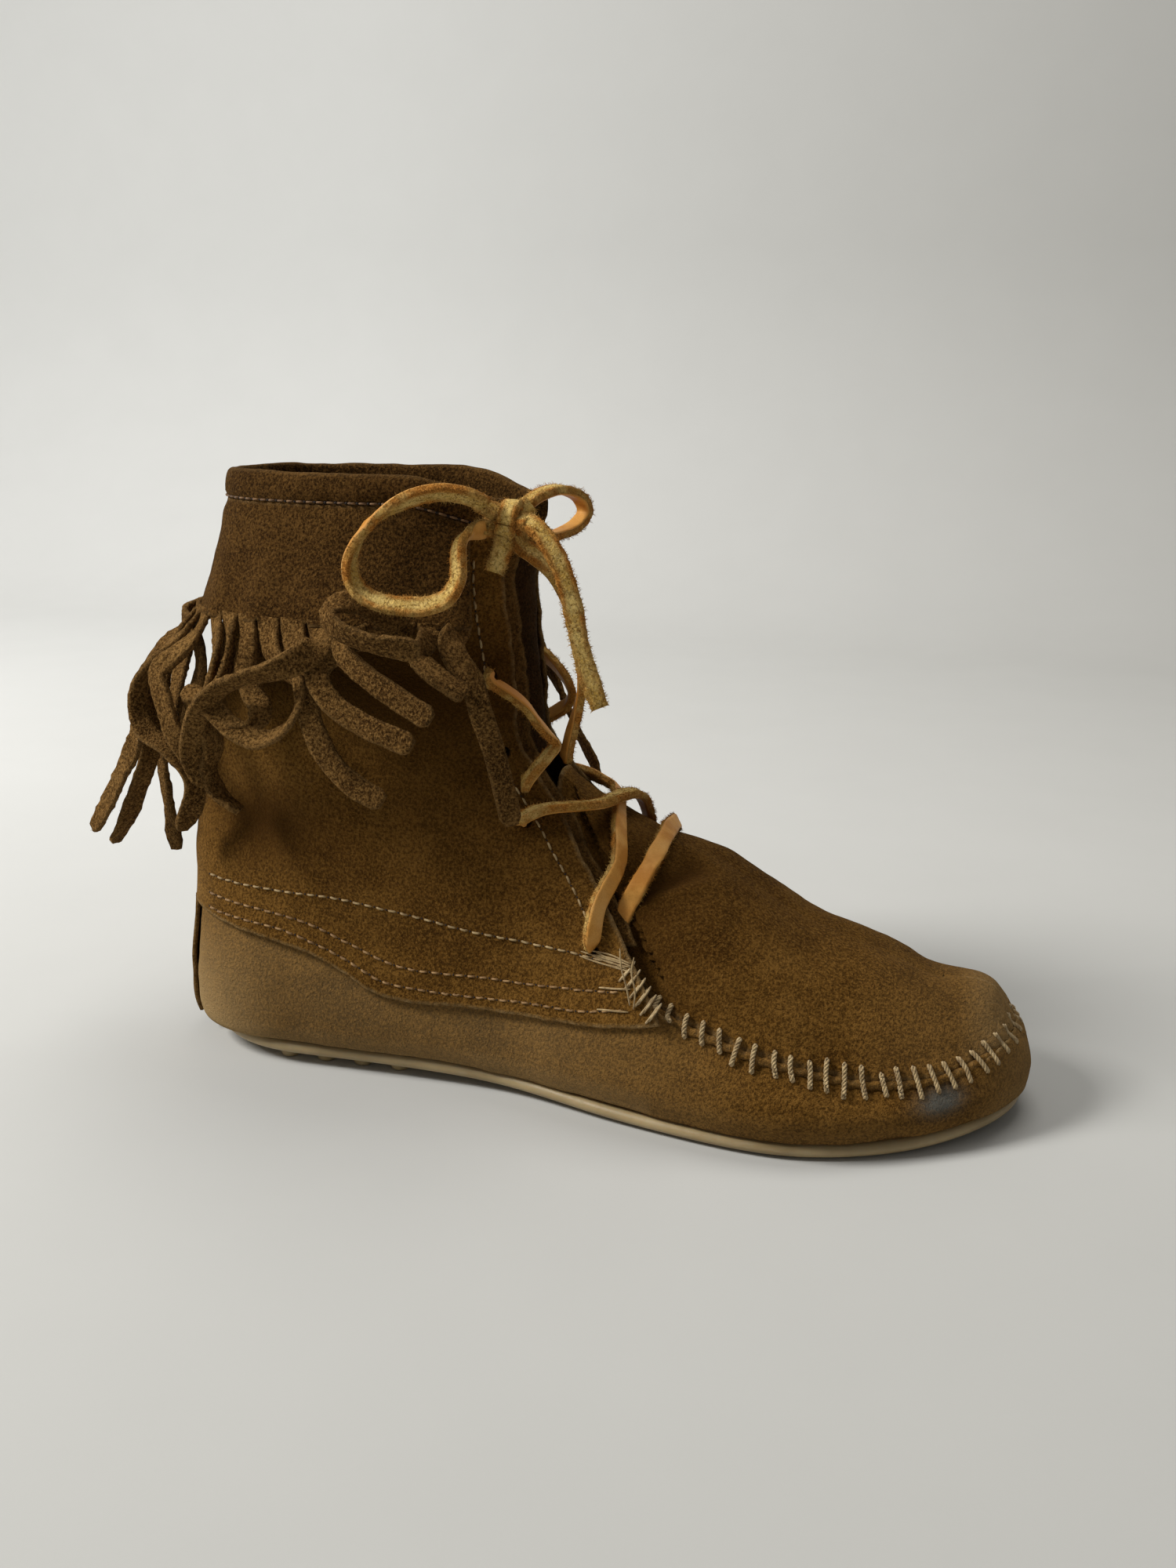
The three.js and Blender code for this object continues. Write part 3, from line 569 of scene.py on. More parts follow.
# ---------------------------------------------------------------- materials
class Shader:
    """One node material: a Principled shader with helpers that add the nodes before it."""

    def __init__(self, name, roughness, **sockets):
        self.material = bpy.data.materials.new(name)
        self.material.use_nodes = True
        self.tree = self.material.node_tree
        self.bsdf = self.tree.nodes["Principled BSDF"]
        self.bsdf.inputs["Roughness"].default_value = roughness
        for socket, value in sockets.items():
            self.bsdf.inputs[socket.replace("_", " ")].default_value = value
        self.place = self.add("TexCoord").outputs["Object"]

    def link(self, source, target):
        self.tree.links.new(source, target)

    def feed(self, socket, value):
        """Gives a socket another node's output, a colour or a number."""
        if isinstance(value, bpy.types.NodeSocket):
            self.link(value, socket)
        elif isinstance(value, tuple):
            socket.default_value = (*value, 1.0)
        else:
            socket.default_value = value

    def add(self, kind, **inputs):
        """A new node with its inputs fed."""
        node = self.tree.nodes.new("ShaderNode" + kind)
        for socket, value in inputs.items():
            self.feed(node.inputs[socket.replace("_", " ")], value)
        return node

    def noise(self, size, detail=3.0, roughness=0.55, stretch=(1, 1, 1), distortion=0.0):
        """Noise with features of about the given size in millimetres."""
        mapping = self.add("Mapping", Vector=self.place, Scale=[s / (size * MM) for s in stretch])
        node = self.add("TexNoise", Vector=mapping.outputs["Vector"], Scale=1.0, Detail=detail,
                        Roughness=roughness, Distortion=distortion)
        return node.outputs["Fac"]

    def attribute(self, name):
        node = self.add("Attribute")
        node.attribute_name = name
        return node.outputs["Fac"]

    def fit(self, value, low, high, to_low=0.0, to_high=1.0):
        node = self.add("MapRange", Value=value, From_Min=low, From_Max=high, To_Min=to_low, To_Max=to_high)
        return node.outputs["Result"]

    def blend(self, factor, a, b, mode="MIX"):
        node = self.add("Mix")
        node.data_type = "RGBA"
        node.blend_type = mode
        for socket, value in (("Factor", factor), ("A", a), ("B", b)):
            self.feed(node.inputs[socket], value)
        return node.outputs["Result"]

    def maths(self, operation, a, b):
        node = self.add("Math")
        node.operation = operation
        self.feed(node.inputs[0], a)
        self.feed(node.inputs[1], b)
        return node.outputs["Value"]

    def colour(self, source):
        self.link(source, self.bsdf.inputs["Base Color"])

    def roughness(self, source):
        self.link(source, self.bsdf.inputs["Roughness"])

    def bumps(self, *layers):
        """Bump layers of (height source, strength, depth in millimetres), stacked in order."""
        normal = None
        for height, strength, depth in layers:
            node = self.add("Bump", Height=height, Strength=strength, Distance=depth * MM)
            if normal is not None:
                self.link(normal, node.inputs["Normal"])
            normal = node.outputs["Normal"]
        self.link(normal, self.bsdf.inputs["Normal"])


def suede(name, dark, base, light, edge, nap=1.0, grain_size=1.0):
    """Napped leather: soft blotches, brushed streaks and a fine nap with painted shade in its pits and
    painted highlights on its tips; raw edges show their core.
    """
    s = Shader(name, 0.95, Sheen_Weight=0.07, Sheen_Roughness=0.5, Specular_IOR_Level=0.04)
    s.bsdf.inputs["Sheen Tint"].default_value = (0.80, 0.44, 0.14, 1.0)
    blotch = s.fit(s.noise(42, 3, 0.5, distortion=0.3), 0.36, 0.64, 0.1, 0.9)
    brushed = s.fit(s.noise(9, 3, 0.55, (0.7, 0.7, 1.2), 0.3), 0.34, 0.66, 0.2, 0.8)
    grain = s.noise(grain_size, 3, 0.7)
    fibre = s.noise(0.5, 2, 0.7)
    tone = s.blend(brushed, s.blend(blotch, dark, base), s.blend(blotch, base, light))
    # Painted shade in the nap's pits and painted highlights on its tips and fibres, from the same noise as
    # the bumps.
    painted_pit_shade = s.blend(min(1.0, 0.72 * nap), tone, (0.27, 0.24, 0.20), "MULTIPLY")
    tone = s.blend(s.fit(grain, 0.40, 0.54), painted_pit_shade, tone)
    tone = s.blend(s.fit(grain, 0.53, 0.66, 0.0, 0.65 * nap), tone, light)
    tone = s.blend(s.fit(fibre, 0.5, 0.7, 0.0, 0.4 * nap), tone, light)
    # Lightens towards the raw-edge colour: worn places, and painted light on the wrap's sides and the
    # collar's top.
    tone = s.blend(s.fit(s.attribute("wear_and_painted_light"), 0.0, 1.0, 0.0, 0.8), tone, edge)
    # Darkens: painted shade in hollows and creases, and under the lacing and the fringe.
    tone = s.blend(s.fit(s.attribute("painted_shade"), 0.0, 1.0, 0.0, 0.95), tone, dark)
    tone = s.blend(s.fit(s.attribute("stain"), 0.0, 1.0, 0.0, 0.8), tone, (0.115, 0.125, 0.115))
    rim = s.maths("MULTIPLY", s.attribute("edge"), s.fit(s.noise(2.2, 2), 0.35, 0.65, 0.15, 0.6))
    s.colour(s.blend(rim, tone, edge))
    s.bumps((s.noise(7, 3, 0.6), 0.4, 0.6), (grain, 1.0, 0.9 * nap), (fibre, 0.9, 0.25 * nap))
    return s.material


def rawhide(name):
    """A split thong: one side smooth orange grain, the other fuzzy yellow flesh, with rusty split edges."""
    s = Shader(name, 0.8, Specular_IOR_Level=0.15)
    patch = s.fit(s.noise(9, 3, 0.6), 0.40, 0.60)
    fuzz = s.noise(1.0, 4, 0.75, distortion=0.8)
    fine = s.noise(0.4, 2, 0.7)
    flesh = s.blend(patch, (0.60, 0.36, 0.075), (0.80, 0.56, 0.18))
    # The flesh darkens where the fuzz is low: partly its mottling, partly painted shade in the crevices that
    # the same noise makes as bumps.
    flesh = s.blend(s.fit(fuzz, 0.38, 0.52), s.blend(0.9, flesh, (0.30, 0.22, 0.11), "MULTIPLY"), flesh)
    # Painted highlights on the fine fibres, which also make bumps.
    flesh = s.blend(s.fit(fine, 0.5, 0.72, 0.0, 0.6), flesh, (0.82, 0.62, 0.27))
    rust = s.blend(s.fit(fine, 0.4, 0.62), (0.30, 0.11, 0.015), (0.60, 0.26, 0.045))
    rusty = s.maths("MULTIPLY", s.attribute("edge"), s.fit(s.noise(7, 2), 0.4, 0.6, 0.3, 1.0))
    flesh = s.blend(rusty, flesh, rust)
    smooth_side = s.blend(patch, (0.48, 0.20, 0.033), (0.64, 0.315, 0.07))
    smooth_side = s.blend(s.fit(s.noise(14, 2), 0.5, 0.7, 0.0, 0.6), smooth_side, (0.66, 0.38, 0.13))
    smooth_side = s.blend(s.fit(fine, 0.45, 0.7, 0.0, 0.25), smooth_side, (0.30, 0.12, 0.02))
    grain = s.fit(s.attribute("grain"), 0.35, 0.65)
    s.colour(s.blend(grain, flesh, smooth_side))
    s.roughness(s.fit(grain, 0.0, 1.0, 0.9, 0.5))
    height = s.maths("MULTIPLY", fuzz, s.fit(grain, 0.0, 1.0, 1.0, 0.12))
    s.bumps((s.noise(2.5, 2), 0.4, 0.4), (height, 1.0, 1.0), (fine, 0.6, 0.15))
    return s.material


def rubber():
    """Honey-coloured crepe rubber, slightly dusty, greyer where it is scuffed."""
    s = Shader("sole_rubber", 0.5, Subsurface_Weight=0.12, Subsurface_Scale=0.004, Specular_IOR_Level=0.4)
    patch = s.fit(s.noise(18, 4), 0.35, 0.65)
    tone = s.blend(patch, (0.275, 0.198, 0.092), (0.385, 0.289, 0.146))
    scuff = s.fit(s.noise(2.4, 5, 0.7, (0.5, 1, 2.2)), 0.5, 0.75, 0.0, 0.55)
    tone = s.blend(scuff, tone, (0.34, 0.28, 0.18))
    s.colour(tone)
    s.roughness(s.fit(scuff, 0.0, 0.5, 0.42, 0.75))
    s.bumps((s.noise(3, 3), 0.25, 0.3), (s.noise(0.5, 2), 0.35, 0.08))
    return s.material


def thread(name, dark, light):
    """Waxed thread: fine plied ridges and uneven dye."""
    s = Shader(name, 0.65, Specular_IOR_Level=0.3, Sheen_Weight=0.15)
    s.colour(s.blend(s.fit(s.noise(1.6, 3), 0.35, 0.65), dark, light))
    s.bumps((s.noise(0.28, 2, 0.6, (1, 1, 0.4)), 0.7, 0.15))
    return s.material


def cloth_lining():
    """Brushed lining: short fibres and a faint weave."""
    s = Shader("lining_cloth", 0.95, Sheen_Weight=0.3)
    weave = s.noise(0.7, 2, 0.6, (1, 2.4, 1))
    tone = s.blend(s.fit(s.noise(12, 3), 0.35, 0.65), (0.05, 0.03, 0.016), (0.085, 0.052, 0.028))
    s.colour(s.blend(s.fit(weave, 0.4, 0.7, 0.0, 0.5), tone, (0.13, 0.085, 0.05)))
    s.bumps((weave, 0.6, 0.2), (s.noise(4, 3), 0.4, 0.4))
    return s.material


def board(name, dark, light, size):
    """Pressed fibre or foam, hidden between the layers."""
    s = Shader(name, 0.9)
    s.colour(s.blend(s.fit(s.noise(size, 4), 0.35, 0.65), dark, light))
    s.bumps((s.noise(size / 2, 2), 0.5, 0.2))
    return s.material


def floor_paper():
    """Pale seamless paper with a faint mottle, and painted shade that darkens it towards the right, the front
    and the top.
    """
    s = Shader("floor_paper", 0.85, Specular_IOR_Level=0.2)
    paper = s.blend(s.noise(55, 4), (0.645, 0.65, 0.635), (0.675, 0.68, 0.665))
    axes = s.add("SeparateXYZ", Vector=s.place)
    # Painted shade: the paper darkens towards the right, the front and the top, where the light falls off.
    shade_falloffs = (("X", -0.5, 0.45, (0.76, 0.75, 0.73)), ("Y", 0.25, -0.30, (0.80, 0.80, 0.79)),
             ("Z", 0.05, 1.3, (0.72, 0.72, 0.72)))
    for axis, near, far, tint in shade_falloffs:
        shaded_paper = s.blend(1.0, paper, tint, "MULTIPLY")
        paper = s.blend(s.fit(axes.outputs[axis], near, far), paper, shaded_paper)
    s.colour(paper)
    s.bumps((s.noise(1.2, 3), 0.12, 0.1))
    return s.material


SUEDE = suede("suede_upper", (0.050, 0.020, 0.0028), (0.140, 0.063, 0.0098), (0.235, 0.118, 0.026),
              (0.38, 0.262, 0.122), 1.1, 0.85)
SUEDE_SKIRT = suede("suede_skirt", (0.025, 0.0102, 0.0020), (0.062, 0.0268, 0.0055), (0.145, 0.072, 0.0185),
                    (0.22, 0.13, 0.05), 1.4, 0.8)
# Painted light: a lighter copy of the suede, so the strands, the same leather as the skirt, read lighter
# though they lie in shade.
SUEDE_FRINGE = suede("suede_fringe", (0.054, 0.0230, 0.0052), (0.138, 0.064, 0.0155), (0.300, 0.166, 0.052),
                     (0.27, 0.16, 0.060), 1.45, 0.8)
SUEDE_TRIM = suede("suede_trim", (0.040, 0.017, 0.003), (0.100, 0.046, 0.010), (0.17, 0.09, 0.026),
                   (0.26, 0.16, 0.06))
# Painted shade: a much darker copy of the suede, for the tongue in the shaded throat.
SUEDE_INNER = suede("suede_inner", (0.008, 0.003, 0.0007), (0.022, 0.009, 0.002), (0.045, 0.020, 0.006),
                    (0.08, 0.04, 0.014))
RAWHIDE = rawhide("rawhide_thong")
RUBBER = rubber()
THREAD = thread("thread_tan", (0.22, 0.14, 0.055), (0.42, 0.30, 0.14))
THREAD_RUST = thread("thread_rust", (0.16, 0.08, 0.022), (0.36, 0.21, 0.08))
THREAD_DARK = thread("thread_dark", (0.075, 0.034, 0.009), (0.20, 0.10, 0.030))
THREAD_WHIP = thread("thread_whip", (0.25, 0.165, 0.072), (0.48, 0.355, 0.18))
# Painted shade: near-black caps that stand in for the dark inside the needle punctures.
HOLE = board("needle_hole", (0.008, 0.004, 0.002), (0.02, 0.01, 0.005), 1.0)
LINING = cloth_lining()
BOARD = board("counter_board", (0.22, 0.16, 0.10), (0.33, 0.25, 0.17), 2.0)
FOAM = board("insole_foam", (0.42, 0.35, 0.23), (0.52, 0.45, 0.32), 1.2)


# ---------------------------------------------------------------- camera and stage
def camera():
    """The photograph's viewing angle: from the outer side, a little ahead of the ankle and above it."""
    place = np.array([209.04, -381.04, 196.54])
    yaw, pitch, roll = -0.2299, 0.2726, 0.013
    forward = np.array([math.sin(yaw) * math.cos(pitch), math.cos(yaw) * math.cos(pitch), -math.sin(pitch)])
    level = np.array([math.cos(yaw), -math.sin(yaw), 0.0])
    above = np.cross(level, forward)
    right = math.cos(roll) * level + math.sin(roll) * above
    up = -math.sin(roll) * level + math.cos(roll) * above
    data = bpy.data.cameras.new("camera")
    data.lens = 31.5
    data.sensor_width = 36
    obj = bpy.data.objects.new("camera", data)
    bpy.context.scene.collection.objects.link(obj)
    rows = np.stack([right, up, -forward], axis=1)
    obj.matrix_world = Matrix.Translation(to_row(place)) @ Matrix(rows.tolist()).to_4x4()
    data.clip_start = 0.02
    bpy.context.scene.camera = obj


def backdrop():
    """A floor that curves up into a wall behind the shoe."""
    depth = 0.75
    bend = 0.35
    line = [(-2.5, 0.0), (depth, 0.0)]
    for k in range(1, 13):
        angle = math.pi / 2 * k / 12
        line.append((depth + bend * math.sin(angle), bend * (1 - math.cos(angle))))
    line.append((depth + bend, 2.6))
    vertices = [(x, y, z) for y, z in line for x in (-3.0, 3.0)]
    faces = [(2 * i, 2 * i + 1, 2 * i + 3, 2 * i + 2) for i in range(len(line) - 1)]
    mesh = bpy.data.meshes.new("backdrop")
    mesh.from_pydata(vertices, [], faces)
    mesh.polygons.foreach_set("use_smooth", [True] * len(faces))
    obj = bpy.data.objects.new("backdrop", mesh)
    bpy.context.scene.collection.objects.link(obj)
    mesh.materials.append(floor_paper())


def area_light(name, place, target, size, power, colour):
    """A square light aimed at a place."""
    data = bpy.data.lights.new(name, "AREA")
    data.shape = "SQUARE"
    data.size = size
    data.energy = power
    data.color = colour
    obj = bpy.data.objects.new(name, data)
    obj.location = place
    obj.rotation_euler = (Vector(target) - Vector(place)).to_track_quat("-Z", "Y").to_euler()
    bpy.context.scene.collection.objects.link(obj)


def lights():
    """A window to the left, a weak light overhead and an even pale surrounding."""
    area_light("window", (-1.25, -0.55, 1.25), (0.0, 0.0, 0.05), 0.5, 35, (1.0, 0.985, 0.96))
    area_light("overhead", (0.1, 0.35, 1.6), (0.05, 0.0, 0.0), 0.9, 9, (1.0, 0.98, 0.95))
    world = bpy.data.worlds.new("studio")
    world.use_nodes = True
    background = world.node_tree.nodes["Background"]
    background.inputs["Color"].default_value = (1.0, 0.985, 0.96, 1.0)
    background.inputs["Strength"].default_value = 0.21
    bpy.context.scene.world = world
    bpy.context.scene.view_settings.view_transform = "Standard"


camera()
backdrop()
lights()


# ---------------------------------------------------------------- rawhide lace
def on_quarter(side, x, z, lift=4.9):
    """A place for the thong over the side of the shoe."""
    return [x, side * (wall_width(side, x, z) + lift), z]


def on_apron(u, across, lift=1.9):
    """A place for the thong over the instep."""
    step = 0.01
    here = apron_point(u, across)
    along = apron_point(u + step, across) - here
    over = apron_point(u, across + step) - here
    normal = np.cross(along, over)
    return list(here + normal / np.linalg.norm(normal) * lift)


def lace_cross(low, ridge_lift):
    """From a low hole on one side over the ridge to the next hole up on the other."""
    high = -low
    return [
        on_quarter(low, 130.3, 51.2, 1.2), on_quarter(low, 130.5, 54), on_quarter(low, 131, 62, 5),
        on_apron(0.106, low * 0.7, 3.4), on_apron(0.098, low * 0.42, 2 + ridge_lift),
        on_apron(0.09, low * 0.12, 1.9 + ridge_lift),
        on_apron(0.078, high * 0.18, 2 + ridge_lift), on_apron(0.055, high * 0.5, 3.4 + ridge_lift),
        on_quarter(high, 111.5, 85, 6), on_quarter(high, 106.6, 83), on_quarter(high, 105.4, 81.6, 1.4),
    ]


KNOT = (105.8, -33.5, 165.5)
THROAT_CENTRE = (95, 0, 50)
SHAFT_CENTRE = (60, 0, 110)
# Each run of the thong as it lies: the centre that its flat side faces away from, how far it
# twists along its way (degrees, evenly spread along it), which side is out, and its route.
LACE = {
    "lace_bar": (THROAT_CENTRE, (-62, -56, -20, 0, 0), 1, [
        on_apron(0.113, -0.97, 1.0), on_apron(0.126, -0.84, 3.2), on_apron(0.14, -0.7, 3.2),
        on_apron(0.157, -0.48, 2.8), on_apron(0.17, -0.24, 2.4), on_apron(0.177, 0.01, 2.2),
        on_apron(0.17, 0.26, 2.4), on_apron(0.157, 0.48, 2.8), on_apron(0.14, 0.7, 3.2),
        on_apron(0.126, 0.84, 3.6)]),
    "lace_cross_low": (THROAT_CENTRE, (0, 12), 1, lace_cross(LATERAL, 0)),
    "lace_cross_high": (THROAT_CENTRE, (0, 0, 38, 45, 30), -1, lace_cross(MEDIAL, 3)),
    "lace_turn_lateral": (SHAFT_CENTRE, (40, 50, 50, 48, 46), 1, [
        [105.2, -17.5, 90.6], [107, -20.5, 92.5], [109.4, -20, 96], [112.5, -19, 100],
        [114.5, -18, 103], [112.3, -18.5, 106], [109.6, -20.5, 110], [107, -22.5, 114.5],
        [103, -24.8, 118.5], [98.5, -26, 121.5], [95.4, -20.3, 122]]),
    "lace_turn_medial": (SHAFT_CENTRE, (0, 0), -1, [
        [98.9, 19, 99.9], [101.6, 20.8, 101.6], [105.8, 20.4, 104.5], [108.5, 20, 106.5],
        [109.8, 19.8, 109.5], [108.6, 20.2, 113], [105.8, 21.2, 116.5], [102, 22.4, 119.8],
        [98.4, 23, 121.8], [95.2, 20, 122]]),
    "lace_run": (SHAFT_CENTRE, (40, -20), -1, [
        [114.5, -6, 96], [116.4, -8.5, 103], [119.3, -12, 111.5], [121.3, -15, 119.5], [122, -18.5, 127.5],
        [121.6, -21.5, 136], [119.8, -24.5, 144.5], [116.5, -27.5, 152], [112, -30.3, 157],
        [108.6, -32, 159.3]]),
    "lace_end": (SHAFT_CENTRE, (30, 42, 50, 45), -1, [
        [111, -36, 166.4], [114.8, -37.6, 164.4], [118.2, -38.6, 160.4], [121.2, -39, 155.2],
        [123.3, -39, 149.4], [124.8, -38.8, 143], [126, -38.4, 136.4], [127.6, -38, 130],
        [129.6, -38, 124.4], [131.7, -38, 119]]),
    "lace_loop_lateral": ((82, -44, 158), (70, 62, 55, 0, 40, 65, 75, 60, 50, 40), 1, [
        [100.6, -38, 170.3], [97, -41, 172.6], [91, -44, 173.6], [84.6, -46.4, 172.4], [78.4, -48.2, 169.4],
        [73, -49.4, 165], [69.3, -50, 159.6], [68, -50, 153.6], [70.2, -50, 148.6], [75.6, -50, 145.8],
        [82, -49.8, 145], [88.4, -49, 145.2], [93.6, -48, 147.6], [95.8, -46.4, 152], [95.4, -44.6, 156.6],
        [95.2, -42.6, 160.8], [97.4, -40.2, 163.4], [100.6, -38, 164.4]]),
    "lace_loop_medial": ((114, -14, 167), (0, 0), -1, [
        [108.8, -28, 170.2], [110.6, -22.6, 172], [113, -16.4, 173.2], [115.6, -10.2, 172.6],
        [118, -5, 170.2], [118.8, -3.4, 166.6], [117.2, -6.2, 163.4], [114.8, -11, 161.6],
        [112.6, -16.4, 161], [110.8, -21.8, 161.4], [109.6, -26.8, 162]]),
}
# The free runs, the body each rides on, how it leaves the knot, and what it ends in.
FREE_LACE = {
    "lace_run": ("boot", "object", "hanging"),
    "lace_end": ("bow_end", "bare", "hanging"),
    "lace_loop_lateral": ("bow_loop_lateral", "object", "loose"),
    "lace_loop_medial": ("bow_loop_medial", "object", "loose"),
}


def thong_section():
    """A flat rounded section: (across, out) offsets, four points to each corner."""
    half = THONG_WIDTH / 2
    depth = THONG_THICKNESS / 2
    corner = 0.75
    section = []
    for k, (x, y) in enumerate([(1, 1), (-1, 1), (-1, -1), (1, -1)]):
        for step in range(4):
            angle = math.radians(90 * k + 30 * step)
            section.append((x * (half - corner) + corner * math.cos(angle),
                            y * (depth - corner) + corner * math.sin(angle)))
        if x == y:
            section.append((x * half / 3, y * depth))
            section.append((-x * half / 3, y * depth))
    return section


def thong_mesh(points, outs, turns, face, seed):
    """A thong along points, with ragged fuzzy edges: (vertices, faces, grain marks, edge marks)."""
    section = thong_section()
    frames = []
    last = len(points) - 1
    for i, (across, out) in enumerate(route_frames(points, outs)):
        angle = np.interp(i / last, np.linspace(0, 1, len(turns)), turns)
        angle = math.radians(angle + 9 * fractal(points[i], 26, seed))
        frames.append((across * math.cos(angle) + out * math.sin(angle),
                       out * math.cos(angle) - across * math.sin(angle)))
    rings = []
    grain = []
    edge = []
    seats = []
    for point, (across, out) in zip(points, frames):
        width = 1 + 0.1 * fractal(point, 7, seed + 3)
        for a, b in section:
            where = point + across * a * width + out * b
            away = across * a + out * b
            away /= np.linalg.norm(away)
            is_grain = b * face > THONG_THICKNESS * 0.32
            ragged = (0.06 if is_grain else 0.38) * fractal(where, 1.5, seed + 5, 2)
            rings.append(where + away * ragged)
            grain.append(1.0 if is_grain else 0.0)
            edge.append(1.0 if abs(a) > THONG_WIDTH * 0.34 and not is_grain else 0.0)
            if not is_grain:
                seats.append((rings[-1], away))
                if abs(a) > THONG_WIDTH * 0.4:
                    seats.append((rings[-1] + out * 0.2, across * a))
    fibres = hairs(seats, 1.5, seed, 0.5, 0.075)
    vertices, faces = combine([(np.array(rings), tube_faces(len(points), len(section))), fibres])
    added = len(fibres[0])
    return vertices, faces, grain + [0.0] * added, edge + [1.0] * added


def lace_piece(name, seed):
    """One run of the lace."""
    centre, turns, face, route = LACE[name]
    length = path_length(spline(route, 60))
    points = spline(route, int(length / 0.8))
    vertices, faces, grain, edge = thong_mesh(points, points - np.array(centre), turns, face, seed)
    body = FREE_LACE.get(name, ("boot",))[0]
    obj = new_object(name + "_thong", vertices, faces, RAWHIDE, body)
    mark(obj, "grain", grain)
    mark(obj, "edge", edge)
    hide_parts(name)
    if name in FREE_LACE:
        path = [tuple(p) for p in to_row(spline(route, 30))]
        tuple(path[0])


def knot():
    """The knot: a band of thong round the crossing runs, over a packed core, with a short tucked end."""
    centre = np.array(KNOT)
    pieces = []
    band = []
    outs = []
    for k in range(29):
        angle = 2 * math.pi * k / 28
        away = np.array([0.12 * math.sin(angle), -math.cos(angle) * 3.6, math.sin(angle) * 5.0])
        band.append(centre + away + np.array([0.9 * math.sin(angle), 0, 0]))
        outs.append(away)
    pieces.append(thong_mesh(np.array(band), np.array(outs), (0, 0), -1, 31))
    runs = [
        [(99.5, -37.4, 170.2), (103, -34.6, 168.2), (107, -32.6, 167.4), (110, -29, 170)],
        [(99.5, -37.6, 164.2), (103, -35.4, 164.6), (107.4, -34.6, 166), (112, -36.2, 166.4)],
        [(104, -34.6, 167.2), (106, -33.4, 163.6), (108.2, -32.4, 160), (109.6, -31.4, 158.6)],
        [(110, -27, 162), (107.6, -30.6, 163.4), (104.4, -33.2, 165.2), (101.4, -35.6, 166.8)],
        [(105.2, -36.6, 162), (105, -37.6, 158.6), (104, -38.4, 155.8), (103.2, -38.6, 153.4)],
    ]
    for seed, run in enumerate(runs):
        points = spline(run, 18)
        out = points - np.array(SHAFT_CENTRE)
        pieces.append(thong_mesh(points, out, (0, 10), -1, 40 + seed))
    vertices, faces = combine([piece[:2] for piece in pieces])
    obj = new_object("lace_knot_wrap", vertices, faces, RAWHIDE, "boot")
    mark(obj, "grain", [g for piece in pieces for g in piece[2]])
    mark(obj, "edge", [e for piece in pieces for e in piece[3]])
    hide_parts("lace_knot")


for number, lace_name in enumerate(LACE):
    lace_piece(lace_name, number + 1)
knot()


# ---------------------------------------------------------------- sole
def sole_layer(profile_points, back=SOLE_BACK, front=SOLE_FRONT, columns=110):
    """A closed layer over the foot's plan from (inset, height function) rows, and its faces."""
    vertices = []
    centre = (back + front) / 2
    for i in range(2 * columns):
        side = LATERAL if i < columns else MEDIAL
        u = i / columns if i < columns else 2 - i / columns
        x = mix(back, front, (1 - math.cos(math.pi * u)) / 2)
        for inset, height in profile_points:
            pulled = centre + (x - centre) * (1 - inset / (front - centre))
            width = plan_width(side, x, back, front, FOOT_WIDTH[side](x)) * max(0.0, 1 - inset / 31)
            vertices.append((pulled, side * width, height(x)))
    rows = len(profile_points)
    faces = []
    for i in range(2 * columns):
        after = (i + 1) % (2 * columns)
        for j in range(rows - 1):
            faces.append((i * rows + j, after * rows + j, after * rows + j + 1, i * rows + j + 1))
    faces.append(tuple(i * rows for i in reversed(range(2 * columns))))
    faces.append(tuple(i * rows + rows - 1 for i in range(2 * columns)))
    return np.array(vertices), faces


def stud_faces(rings, sides):
    """The faces between the rings of a stud whose first ring is at its top."""
    faces = []
    for ring in range(rings - 1):
        for k in range(sides):
            a = ring * sides + k
            b = ring * sides + (k + 1) % sides
            faces.append((a, a + sides, b + sides, b))
    return faces


def dome(x, y, radius, low, high, sides):
    """A round-ended stud from height high down to low."""
    vertices = []
    rings = 6
    for k in range(rings):
        angle = math.pi / 2 * k / (rings - 1)
        size = radius * (0.62 + 0.38 * math.cos(angle)) * (1.08 if k == 0 else 1.0)
        z = low + (high - low) * (1 - math.sin(angle)) ** 1.3
        for s in range(sides):
            turn = 2 * math.pi * s / sides
            vertices.append((x + size * math.cos(turn), y + size * math.sin(turn), z))
    tip = tuple(reversed([(rings - 1) * sides + s for s in range(sides)]))
    return np.array(vertices), [*stud_faces(rings, sides), tip]


